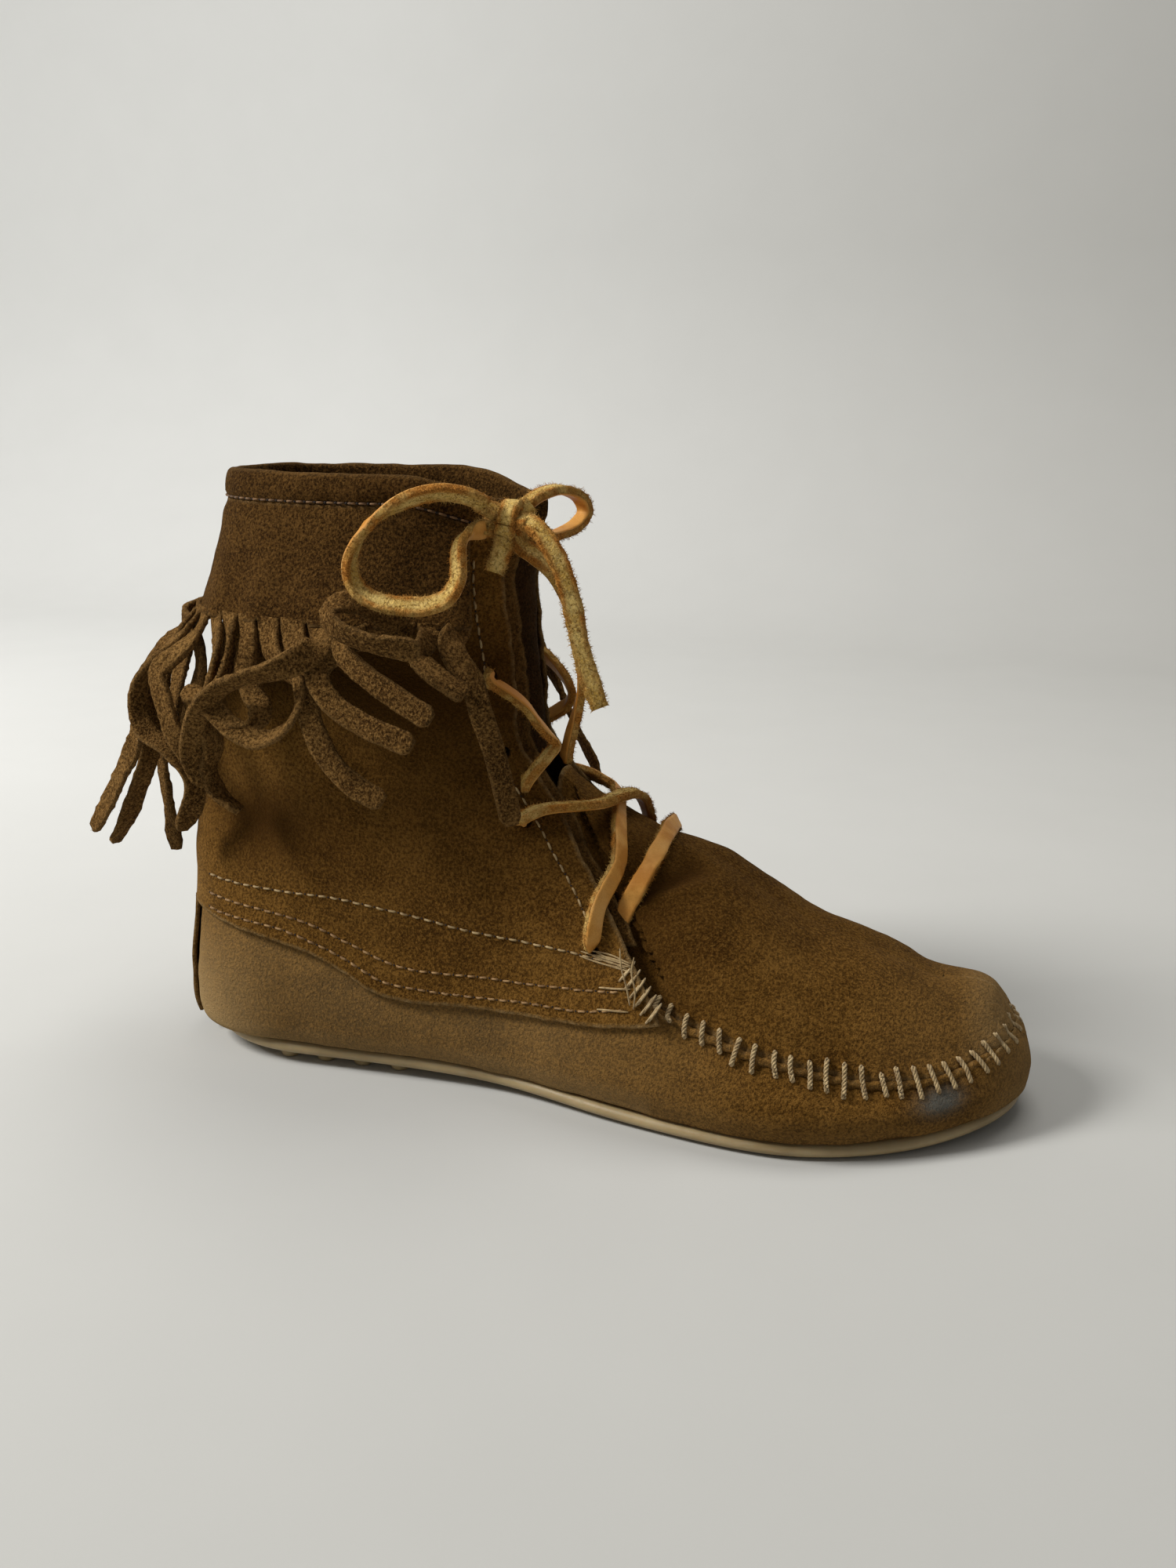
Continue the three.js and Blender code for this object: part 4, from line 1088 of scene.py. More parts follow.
def outsole():
    """The rubber sole with its rounded edge, and the studs and pad under it."""
    rows = [(6.0, TREAD)]
    steps = 9
    for k in range(steps + 1):
        angle = math.pi * (k / steps - 0.5)
        inset = 1.9 * (1 - math.cos(angle)) - 0.4
        level = (1 + math.sin(angle)) / 2
        rows.append((inset, lambda x, level=level: TREAD(x) + (SOLE_THICKNESS + 0.5) * level))
    rows.append((5.0, lambda x: TREAD(x) + SOLE_THICKNESS))
    pieces = [sole_layer(rows)]
    for x in range(STUDS_FROM, STUDS_TO, STUD_PITCH):
        if WAIST_FROM < x < WAIST_TO:
            continue
        for row in range(-3, 4):
            y = row * STUD_PITCH
            side = LATERAL if y < 0 else MEDIAL
            room = plan_width(side, x, SOLE_BACK, SOLE_FRONT, FOOT_WIDTH[side](x)) - STUD_MARGIN
            clear_of_pad = math.hypot(x - PAD_CENTRE_X, y) >= PAD_RADIUS + STUD_RADIUS + 1
            if abs(y) <= room and clear_of_pad:
                pieces.append(dome(x, y, STUD_RADIUS + 0.3, 0.0, TREAD(x) + 1, 14))
    pieces.append(dome(PAD_CENTRE_X, 0, PAD_RADIUS, 0.0, TREAD(PAD_CENTRE_X) + 1, 28))
    vertices, faces = combine(pieces)
    obj = new_object("outsole_rubber", vertices, faces, RUBBER)
    tidy_mesh(obj)
    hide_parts("outsole")


def insole(name, node, low, thickness, inset, material, crown):
    """A soft layer on the wrap's floor, with rounded edges and a crowned top."""

    def level(share):
        return lambda x: bed_height(x) + LEATHER + low + thickness * share

    outline = ((3, 0), (0.4, 0.05), (0, 0.5), (0.6, 0.95), (3, 1.0), (9, 1.0 + crown), (15, 1.0 + crown))
    rows = [(inset + further, level(share)) for further, share in outline]
    vertices, faces = sole_layer(rows)
    obj = new_object(name, vertices, faces, material)
    tidy_mesh(obj)
    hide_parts(node)
    return obj


outsole()
cushion = insole("insole_cushion_foam", "insole_cushion", 1.1, 2.1, 7, FOAM, 0.1)
insole("sock_lining_sheet", "sock_lining", 3.6, 0.9, 4.5, LINING, 0.2)


# ---------------------------------------------------------------- the sewn seam round the apron
def seam_line():
    """The apron seam from the lateral facing round the toe to the medial one, and its run along it."""
    points = []
    for side, order in ((LATERAL, range(0, 161)), (MEDIAL, range(160, -1, -1))):
        for k in order:
            x, y, z = apron_edge(side, k / 160)
            if x >= SEAM_START:
                points.append((x + 0.4, y + side * 0.9, z))
    points = np.array(points)
    keep = [0]
    for i in range(1, len(points)):
        if np.linalg.norm(points[i] - points[keep[-1]]) > 0.3:
            keep.append(i)
    points = points[keep]
    return points, distances(points)


SEAM, SEAM_RUN = seam_line()


def pinch(points):
    """For points near the seam: how close they are (0 to 1), and the wave that the stitches draw up."""
    flat = points.reshape(-1, 3)
    closeness = np.zeros(len(flat))
    wave = np.zeros(len(flat))
    for i, p in enumerate(flat):
        gaps = np.linalg.norm(SEAM - p, axis=1)
        nearest = int(gaps.argmin())
        closeness[i] = max(0.0, 1 - gaps[nearest] / 11)
        wave[i] = math.cos(2 * math.pi * SEAM_RUN[nearest] / STITCH_PITCH)
    return closeness.reshape(points.shape[:2]), wave.reshape(points.shape[:2])


def noise_field(points, scale, seed):
    """Smooth noise at each point of a lattice."""
    flat = points.reshape(-1, 3)
    return np.array([fractal(p, scale, seed) for p in flat]).reshape(points.shape[:2])


def sewn_relief(points):
    """Leather drawn up by the whip stitches: a raised lip, and a dip under each stitch."""
    closeness, wave = pinch(points)
    lip = 0.9 * np.clip(closeness * 1.6 - 0.6, 0, 1) ** 1.5
    dips = 0.55 * (closeness ** 2) * wave
    return lip - dips


# ---------------------------------------------------------------- the wrap, heel and apron
def both_faces(points):
    """A sheet's lattice twice over, once for each face, in the order of its vertices."""
    return np.concatenate([points.reshape(-1, 3)] * 2)


def mark_sheet(obj, name, values):
    """Marks the two faces of a sheet and leaves 0 on its rim."""
    mark(obj, name, np.concatenate([values, np.zeros(len(obj.data.vertices) - len(values))]))


def vamp_wrap():
    """The lower upper, from under the foot up to the sewn seam."""
    floor_rows = 3
    rows = 34
    middle_x = 120

    def point(t, v):
        side = LATERAL if t < 0.5 else MEDIAL
        u = 2 * t if t < 0.5 else 2 - 2 * t
        row = round(v * rows)
        if row >= floor_rows:
            return wrap_wall(side, u, (row - floor_rows) / (rows - floor_rows))
        foot = wrap_wall(side, u, 0)
        pull = 1 - row / floor_rows
        x = middle_x + (foot[0] - middle_x) * (1 - 0.07 * pull)
        z = foot[2] - (HEM_RISE + 0.1) * math.sin(math.pi / 2 * pull)
        return np.array([x, foot[1] * (1 - 0.16 * pull), z])

    points, normals = lattice(point, 300, rows, closed=True)
    height = points[:, :, 2]
    x = points[:, :, 0]
    relief = sewn_relief(points)
    relief += 0.55 * noise_field(points, 24, 2) + 0.14 * noise_field(points, 5, 3)
    toe_wall = np.clip((x - 150) / 40, 0, 1) * np.clip((height - 8) / 6, 0, 1)
    relief += 0.35 * toe_wall * noise_field(points * np.array([1, 1, 0.35]), 9, 4)
    relief[:, :floor_rows] = 0
    shifted = raised(points, normals, relief)
    obj = sheet_mesh("vamp_wrap_suede", shifted, normals, 0, LEATHER, SUEDE, closed=True)
    x, y, z = both_faces(shifted).T
    low = np.clip((15 - z) / 8, 0, 1) * np.where(x > 150, 0.12, 0.35)
    heel = np.clip((34 - x) / 34, 0, 1) * np.clip((40 - z) / 26, 0, 1) * 0.75
    toe = np.clip((x - 235) / 15, 0, 1) * 0.35
    # Painted light: lightens the wrap back from the toe, standing in for light on its sides.
    middle = 0.25 * np.clip((180 - x) / 60, 0, 1)
    mark_sheet(obj, "wear_and_painted_light", np.clip(low + heel + toe + middle, 0, 1))
    spot = 1.2 * np.exp(-(((x - 227) / 5.5) ** 2 + ((z - 15.2) / 3.2) ** 2))
    mark_sheet(obj, "stain", spot * (y < 0))
    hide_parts("vamp_wrap")
    return shifted


def heel_band(name, node, reach, low, high, offset, thickness, material, bulge=0.0):
    """A band that follows the heel, the same on both sides; with no node it is an extra piece."""

    def point(t, v):
        side = MEDIAL if t < 0.5 else LATERAL
        u = abs(2 * t - 1) * reach
        z = mix(low, high(u / reach), v)
        x = along_foot(u, z, FRONT(min(z, TOE_LEVEL)))
        return np.array([x, side * wall_width(side, x, z), z])

    points, normals = lattice(point, 60, 24)
    across = np.linspace(-1, 1, 61)[:, None]
    relief = 0.25 * noise_field(points, 9, 5) + bulge * (1 - across ** 2)
    relief -= 0.8 * bulge * np.exp(-(across / 0.12) ** 2)
    shifted = raised(points, normals, relief)
    obj = sheet_mesh(name, shifted, normals, offset, thickness, material)
    if node:
        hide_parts(node)


def apron():
    """The plug over the instep, drawn up to the seam all round."""

    def point(u, v):
        return apron_point(u, mix(-1, 1, v))

    points, normals = lattice(point, 170, 130)
    normals[normals[:, :, 2] < -0.2] *= -1
    x = points[:, :, 0]
    y = points[:, :, 1]
    relief = sewn_relief(points)
    relief += 0.7 * noise_field(points, 26, 8) + 0.16 * noise_field(points, 6, 9)
    crease = 0.5 * (x - (138 + 2.27 * (y + 29) - 0.075 * (y + 29) * (y + 23.5)))
    outer = np.clip((-4 - y) / 8, 0, 1)
    relief += 0.8 * np.exp(-(crease / 1.5) ** 2) * outer
    relief -= 2.6 * np.exp(-((crease + 5) / 3.4) ** 2) * outer
    inner = np.clip((y + 20) / 20, 0, 1)
    relief += 2.2 * np.exp(-((x - 239) / 6) ** 2) * inner
    relief -= 1.7 * np.exp(-((x - 223) / 8) ** 2) * inner
    shifted = raised(points, normals, relief)
    obj = sheet_mesh("apron_suede", shifted, normals, 0.1, LEATHER, SUEDE)
    x, y, _ = both_faces(shifted).T
    mark_sheet(obj, "wear_and_painted_light", np.clip((x - 200) / 30, 0, 1) * 0.1 + np.clip((x - 230) / 12, 0, 1) * 0.4)
    # Painted shade: darker near the foot of the facing under the lace bar, and in the hollow behind the
    # crease.
    shade = 0.7 * np.exp(-((0.5 * (x - 138)) / 12) ** 2) * np.clip((10 - y) / 30, 0, 1)
    hollow = 0.55 * np.exp(-((crease + 3.6) / 2.4) ** 2) * outer
    mark_sheet(obj, "painted_shade", np.clip(shade + np.concatenate([hollow.ravel()] * 2), 0, 1))
    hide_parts("apron")
    return shifted


def whip_stitches(wrap_points, apron_points):
    """A three-ply cord over the seam every few millimetres, its ends pulled into their holes."""
    wrap_flat = wrap_points.reshape(-1, 3)
    apron_flat = apron_points.reshape(-1, 3)
    pieces = []
    holes = []
    reach = 3.3
    lean = 0.6
    samples = 26
    plies = 3
    ply_turn = 3.4
    total = SEAM_RUN[-1]
    count = int(total / STITCH_PITCH)
    for k in range(count):
        s = (k + 0.5) * total / count
        i = int(np.searchsorted(SEAM_RUN, s))
        i = min(max(i, 1), len(SEAM) - 2)
        middle = SEAM[i]
        along = unit(SEAM[i + 1] - SEAM[i - 1])
        tilt = lean * np.clip(middle[1] / 10, -1, 1)
        uneven = reach * (1 + 0.22 * fractal((k * 2.7, 0, 0), 2, 51))
        ends = []
        for flat, slant in ((apron_flat, tilt), (wrap_flat, -tilt)):
            away = flat - middle
            miss = np.abs(away @ along - slant) * 2 + np.abs(np.linalg.norm(away, axis=1) - uneven)
            ends.append(flat[int(miss.argmin())])
        lift = unit(np.array([0.0, middle[1] / 60, 0.8]))
        low_out = np.array([0, middle[1] / 40, 0.4])
        route = [ends[0] - lift * 0.6, ends[0] + lift * 0.5, middle + lift * 1.1,
                 ends[1] + low_out * 0.6, ends[1] - lift * 0.6]
        holes.extend(ends)
        centre_line = spline(route, samples)
        tangents = unit(np.gradient(centre_line, axis=0))
        frames = route_frames(centre_line, [np.cross(tangent, along) for tangent in tangents])
        turns = path_length(centre_line) / ply_turn
        for ply in range(plies):
            line = []
            for j, (across, out) in enumerate(frames):
                turn = 2 * math.pi * (ply / plies + turns * j / (samples - 1))
                line.append(centre_line[j] + across * 0.4 * math.cos(turn) + out * 0.3 * math.sin(turn))
            pieces.append(stick(line, 0.36, 7))
    vertices, faces = combine(pieces)
    obj = new_object("whip_stitches", vertices, faces, THREAD_WHIP)
    return holes


def seam_welt():
    """The two raw edges of the seam, drawn together by the stitches into one low fuzzy ridge."""
    run = np.arange(0, SEAM_RUN[-1], 0.8)
    line = np.stack([np.interp(run, SEAM_RUN, SEAM[:, k]) for k in range(3)], axis=1)
    swell = np.cos(2 * math.pi * run / STITCH_PITCH)
    line[:, 2] -= 0.35 + 0.25 * swell
    welt = stick(line, 1.2, 10)
    out = line - np.array([190, 0, 0])
    out[:, 2] = 25
    fibres_each = 4
    seats = [(place + unit(away) * 1.15, away) for place, away in zip(line, out) for _ in range(fibres_each)]
    fibres = hairs(seats, 0.7, 52)
    vertices, faces = combine([welt, fibres])
    obj = new_object("seam_welt_suede", vertices, faces, SUEDE)
    mark(obj, "edge", [0.25] * len(welt[0]) + [0.8] * len(fibres[0]))


def needle_holes(name, points, radius):
    """Small near-black caps, sunk so that only a cap shows: painted shade for the dark inside the needle
    punctures.
    """
    rings = 3
    sides = 7
    ball = []
    for ring in range(1, rings + 1):
        angle = math.pi * ring / (rings + 1)
        for s in range(sides):
            turn = 2 * math.pi * s / sides
            ball.append((math.sin(angle) * math.cos(turn), math.sin(angle) * math.sin(turn), math.cos(angle)))
    top = tuple(range(sides))
    bottom = tuple(reversed(range((rings - 1) * sides, rings * sides)))
    ball_faces = [*stud_faces(rings, sides), top, bottom]
    vertices, faces = combine([(p + radius * np.array(ball), ball_faces) for p in points])
    obj = new_object(name, vertices, faces, HOLE)


wrap_grid = vamp_wrap()
heel_band("heel_tab_strip", "heel_tab", 0.07, 7, lambda u: 44.5, LEATHER + LAYER_GAP, LEATHER, SUEDE_TRIM,
          0.5)
heel_band("heel_lining_sheet", "heel_lining", 0.27, 14, lambda u: 56 - 14 * u * u,
          -2 * LEATHER - 3 * LAYER_GAP, 0.8, LINING)
heel_band("back_seam_tape", None, 0.035, 50, lambda u: COLLAR_SEAM, LAYER_GAP / 2 + LEATHER, 0.7,
          SUEDE)
apron_grid = apron()
whip_holes = whip_stitches(wrap_grid, apron_grid)
needle_holes("whip_needle_holes", whip_holes, 0.55)
seam_welt()


# ---------------------------------------------------------------- quarters, facings and tongue
def soft_bump(points, centre, size):
    """1 at a place on the leather, fading to 0 over a size, both in millimetres along x and z."""
    dx = (points[..., 0] - centre[0]) / size[0]
    dz = (points[..., 2] - centre[1]) / size[1]
    return np.exp(-(dx ** 2) - dz ** 2)


def fold(points, start, end, width):
    """A crease line on the side of the shoe: 1 along it, fading across its width."""
    start = np.array(start, float)
    end = np.array(end, float)
    along = end - start
    length = np.linalg.norm(along)
    along /= length
    place = np.stack([points[..., 0] - start[0], points[..., 2] - start[1]], axis=-1)
    run = place @ along
    off = place @ np.array([-along[1], along[0]])
    within = np.clip(run / (0.25 * length), 0, 1) * np.clip((length - run) / (0.25 * length), 0, 1)
    return np.exp(-(off / width) ** 2) * within


# On the quarters, as (x, z): swells and hollows with their rise, place and size, folds with their
# rise, ends and width, and spots of painted shade (in the hollow above the heel, in the middle of the quarter
# and under the fringe) with their strength, place and size.
SWELLS = ((-1.6, (24, 84), (16, 9)), (1.1, (30, 64), (26, 9)))
FOLDS = ((-0.9, (48, 104), (86, 88), 5), (0.8, (44, 94), (92, 78), 6), (-0.8, (96, 66), (126, 58), 5),
         (0.5, (86, 60), (124, 50), 5))
PAINTED_SHADE_SPOTS = ((0.95, (30, 77), (22, 12)), (0.5, (86, 96), (34, 34)), (0.75, (66, 121), (44, 15)))


def quarter_relief(side, points):
    """Hollows above the heel, soft folds over the ankle, and a gentle all-over unevenness."""
    seed = 12 if side == LATERAL else 17
    relief = 0.85 * noise_field(points, 34, seed) + 0.18 * noise_field(points, 7, seed + 1)
    for rise, place, size in SWELLS:
        relief += rise * soft_bump(points, place, size)
    for rise, start, end, width in FOLDS:
        relief += rise * fold(points, start, end, width)
    return relief


def cut_holes(obj, places):
    """Punches lace holes through a sheet: each place is a point and the direction through it."""
    work = bmesh.new()
    for point, out in places:
        turn = Vector(out).to_track_quat("Z", "Y").to_matrix().to_4x4()
        where = Matrix.Translation(to_row(point)) @ turn
        bmesh.ops.create_cone(work, cap_ends=True, segments=20, matrix=where, depth=12 * MM,
                              radius1=LACE_HOLE_RADIUS * MM, radius2=LACE_HOLE_RADIUS * MM)
    mesh = bpy.data.meshes.new("punch")
    work.to_mesh(mesh)
    work.free()
    punch = bpy.data.objects.new("punch", mesh)
    bpy.context.scene.collection.objects.link(punch)
    cut = obj.modifiers.new("holes", "BOOLEAN")
    cut.object = punch
    cut.operation = "DIFFERENCE"
    cut.solver = "EXACT"
    bpy.context.view_layer.objects.active = obj
    with bpy.context.temp_override(object=obj, active_object=obj):
        bpy.ops.object.modifier_apply(modifier="holes")
    bpy.data.objects.remove(punch)


def hole_places(side):
    """Where the lace holes are on one side, and which way they go through."""
    places = []
    for x, z in LACE_HOLES:
        point = quarter_point(side, 0.5, z)
        point[0] = x
        point[1] = side * wall_width(side, x, z)
        slope = (wall_width(side, x + 1, z) - wall_width(side, x - 1, z)) / 2
        places.append((point, (-slope, side, 0.0)))
    return places


def quarter(side, name):
    """One side of the shaft, from the back seam to the lacing, with a raw lower edge."""
    columns = 150
    rows = 120

    def point(t, v):
        u = t if side == LATERAL else 1 - t
        edge_x = quarter_x(u, HEEL_LEVEL)
        low = QUARTER_EDGE(edge_x) + 0.35 * fractal((edge_x, side * HEEL_LEVEL, 0), 5, 21)
        top = COLLAR_SEAM + 2.5 - collar_drop(quarter_x(u, COLLAR_SEAM))
        z = mix(low, top, v)
        x = quarter_x(u, z)
        front = smooth(0.9, 1.0, u)
        x += front * 0.5 * fractal((z, side * 9, 3), 4, 22)
        return np.array([x, side * max(0.35, wall_width(side, x, z)), z])

    points, normals = lattice(point, columns, rows)
    relief = quarter_relief(side, points)
    lift = points[:, :, 2] - points[:, :1, 2]
    relief *= np.clip(lift / 12, 0.15, 1)
    relief *= np.clip((COLLAR_SEAM - points[:, :, 2]) / 14, 0.1, 1)
    edge_x = THROAT(60) - points[:, :, 0]
    relief = np.where(points[:, :, 2] < 75, relief * np.clip(edge_x / 20 + 1.2, 0.3, 1), relief)
    shifted = raised(points, normals, relief)
    obj = sheet_mesh(name + "_suede", shifted, normals, LEATHER + LAYER_GAP, LEATHER, SUEDE, edge_round=0.35)
    flat = both_faces(shifted)
    # Painted shade: the hollow above the heel, the middle of the quarter and the part under the fringe are
    # darkened.
    painted_shade = sum(strength * soft_bump(flat, place, size) for strength, place, size in PAINTED_SHADE_SPOTS)
    mark_sheet(obj, "painted_shade", np.clip(painted_shade, 0, 1))
    wear_and_painted_light = 0.25 * np.clip((14 - flat[:, 0]) / 18, 0, 1) * np.clip((70 - flat[:, 2]) / 30, 0, 1)
    mark_sheet(obj, "wear_and_painted_light", wear_and_painted_light)
    cut_holes(obj, hole_places(side))
    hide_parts(name)
    raw_edge_fuzz(name + "_fuzz", shifted, normals, LEATHER + LAYER_GAP, 0.8, SUEDE,
                  "bottom end" if side == LATERAL else "bottom start")
    return shifted, normals


def facing(side, name):
    """The folded strip behind the front edge of a quarter, with the lace holes."""
    behind = 9
    ahead = 3.5

    def point(t, v):
        z = mix(52, COLLAR_SEAM - COLLAR_DIP - 0.5, v)
        reach = t if side == LATERAL else 1 - t
        x = THROAT(z) + mix(-behind, ahead, reach)
        x += smooth(0.6, 1.0, reach) * 0.7 * fractal((z, side * 5, 8), 5, 25)
        return np.array([x, side * wall_width(side, x, z), z])

    points, normals = lattice(point, 14, 130)
    relief = 0.3 * noise_field(points, 12, 26)
    shifted = raised(points, normals, relief)
    obj = sheet_mesh(name + "_strip", shifted, normals, -LAYER_GAP, 1.2, SUEDE_TRIM, edge_round=0.3)
    cut_holes(obj, hole_places(side))
    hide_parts(name)
    raw_edge_fuzz(name + "_fuzz", shifted, normals, -LAYER_GAP, 0.9, SUEDE_TRIM, "start end")


def tongue():
    """A curved flap behind the lacing, its foot rounded."""
    half = 23
    top = 158
    power = shaft_power(False)

    def point(u, v):
        y = mix(half, -half, v)
        z = mix(96 - 13 * (y / 19) ** 2, top, u)
        centre = (BACK(z) + FRONT(z)) / 2
        share = abs(y) / (SHAFT_WIDTH(z) - 1)
        x = centre + (FRONT(z) - centre) * (1 - share ** power) ** (1 / power) - FACING_ROOM
        return np.array([x, y, z])

    points, normals = lattice(point, 70, 60)
    relief = -np.abs(0.9 * noise_field(points, 20, 30)) + 0.1
    shifted = raised(points, normals, relief)
    obj = sheet_mesh("tongue_suede", shifted, normals, 0, LEATHER, SUEDE_INNER, "tongue_flap")
    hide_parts("tongue")


# ---------------------------------------------------------------- machine stitching
def on_grid(grid, normals, x, z, offset):
    """The point of a leather lattice nearest to a place seen from the side, and its normal."""
    flat = grid.reshape(-1, 3)
    gap = (flat[:, 0] - x) ** 2 + (flat[:, 2] - z) ** 2
    near = np.argsort(gap)[:4]
    weight = 1 / (gap[near] + 0.05)
    weight /= weight.sum()
    point = (flat[near] * weight[:, None]).sum(axis=0)
    normal = (normals.reshape(-1, 3)[near] * weight[:, None]).sum(axis=0)
    normal /= np.linalg.norm(normal)
    return point + normal * offset, normal


def stitch_row(name, line, material, pitch=3.7, gap=1.2, radius=0.31):
    """Lock stitches along a line of (point, normal): each dips at its ends into its needle holes."""
    points = np.array([p for p, _ in line])
    outs = np.array([n for _, n in line])
    run = distances(points)
    rises = (-0.32, 0.12, 0.22, 0.22, 0.12, -0.32)
    pieces = []
    holes = []
    for k in range(int(run[-1] / pitch)):
        stretch = np.linspace(k * pitch + gap / 2, (k + 1) * pitch - gap / 2, len(rises))
        stitch = [at_distance(run, points, s) + at_distance(run, outs, s) * rise
                  for s, rise in zip(stretch, rises)]
        pieces.append(stick(stitch, radius, 7))
        sunk = at_distance(run, outs, k * pitch) * NEEDLE_SUNK
        holes.append(at_distance(run, points, k * pitch) - sunk)
    vertices, faces = combine(pieces)
    obj = new_object(name, vertices, faces, material)
    return holes


def leather_line(grid, normals, places, offset, upright=False):
    """A finely spaced line over a leather lattice through (x, z) places, or (z, x) ones if it climbs."""
    line = profile(places)
    first, last = places[0][0], places[-1][0]
    steps = np.linspace(first, last, int(abs(last - first) / 0.8))
    spots = [(line(step), step) if upright else (step, line(step)) for step in steps]
    return [on_grid(grid, normals, x, z, offset) for x, z in spots]


# The rows on the quarters, from the heel to the facing, as (x, z): two along the raw edge and one above.
LOW_ROW = [(9, 46.4), (33, 44.9), (44, 42.2), (55, 38.4), (61, 35.6), (68, 32.6), (83, 31.6), (97, 31.7),
           (113, 32.8), (128, 33.8), (143, 36.6)]
SECOND_ROW = [(9, 51), (33, 49.4), (44, 47.5), (55, 43.6), (65, 39.8), (72, 37.9), (81, 37.2), (97, 37.6),
              (112, 38.1), (128, 39.2), (143, 41.0)]
HIGH_ROW = [(9, 56.6), (33, 56.7), (55, 56.6), (76, 54.1), (97, 51), (117, 49.3), (137, 47.1)]


def quarter_stitching(name, grid, normals):
    """Every row of machine stitches on one quarter, with its needle holes."""
    holes = []
    surface = LEATHER + LAYER_GAP + 0.05
    rows = ((LOW_ROW, "low", THREAD_RUST), (SECOND_ROW, "second", THREAD_RUST), (HIGH_ROW, "high", THREAD))
    for places, label, material in rows:
        line = leather_line(grid, normals, places, surface)
        holes += stitch_row(f"stitches_{label}_{name}", line, material)
    places = [(z, THROAT(z) - 7) for z in (54, 62, 70, 80, 90, 100, 112, 126, 140, 152, 158)]
    line = leather_line(grid, normals, places, surface, upright=True)
    holes += stitch_row(f"stitches_front_{name}", line, THREAD)
    needle_holes(f"needle_holes_{name}", holes, NEEDLE_RADIUS)


def backtack(grid, normals):
    """The bunched end of the upper row by the lowest lace hole, and the whipped foot of the facing."""
    surface = LEATHER + LAYER_GAP + 0.15
    fine = 0.24
    thin = []
    for k in range(8):
        low = 46.2 + 0.33 * k
        start = 129.5 + 2.2 * math.sin(k * 2.3)
        end = 141.5 + 1.6 * math.cos(k * 1.7)
        rise = -0.09 * (end - start)
        places = [(start, low + 1.2), ((start + end) / 2, low + 0.9 + 0.5 * rise + 0.5 * math.sin(k * 1.9)),
                  (end, low + 0.6 + rise)]
        line = [on_grid(grid, normals, x, z, surface)[0] for x, z in places]
        thin.append(stick(spline(line, 10), fine, 6))
    ends = [
        [(143, -45.8, 39), (142.2, -47.2, 45), (140.6, -46.6, 50), (139.8, -45.2, 55)],
        [(144, -45.8, 38), (144.6, -47.2, 44), (143.4, -46.6, 49), (143.8, -45.6, 53)],
    ]
    for route in ends:
        thin.append(stick(spline(route, 14), fine, 6))
    for low in (34.9, 40.4):
        places = [(134, low + 0.5), (138.5, low + 0.9), (143, low + 1.3)]
        line = [on_grid(grid, normals, x, z, surface + 0.2)[0] for x, z in places]
        thin.append(stick(spline(line, 8), 0.3, 6))
    over_edge = ((-1.3, -2.2, 1.6), (-0.6, -0.9, 3.0), (0.8, 1.1, 2.7), (1.6, 2.3, 0.6))
    bunch = []
    for k in range(6):
        x = 140.2 + 1.75 * k
        z = 45.6 - 1.75 * k
        for shift in (0.0, 0.8):
            route = [on_quarter(LATERAL, x + ahead + shift, z + up + shift * 0.8, lift)
                     for ahead, up, lift in over_edge]
            bunch.append(stick(spline(route, 12), 0.34, 7))
    for label, pieces, material in (("backtack", thin, THREAD), ("facing_foot", bunch, THREAD_WHIP)):
        vertices, faces = combine(pieces)
        new_object("thread_" + label, vertices, faces, material)


for side, quarter_name, facing_name in ((LATERAL, "quarter_lateral", "facing_lateral"),
                                        (MEDIAL, "quarter_medial", "facing_medial")):
    leather, leather_normals = quarter(side, quarter_name)
    facing(side, facing_name)
    quarter_stitching(quarter_name.removeprefix("quarter_"), leather, leather_normals)
    if side == LATERAL:
        backtack(leather, leather_normals)
tongue()


# ---------------------------------------------------------------- collar and fringe
def skirt_offset(z):
    """How far the hanging flap stands off the shaft: least under the collar."""
    tucked = 0.9 * smooth(COLLAR_SEAM - 3, COLLAR_SEAM + 1, z)
    return 3.8 - tucked + 6 * clamp01((COLLAR_SEAM - z) / (COLLAR_SEAM - SKIRT_EDGE)) ** 1.5


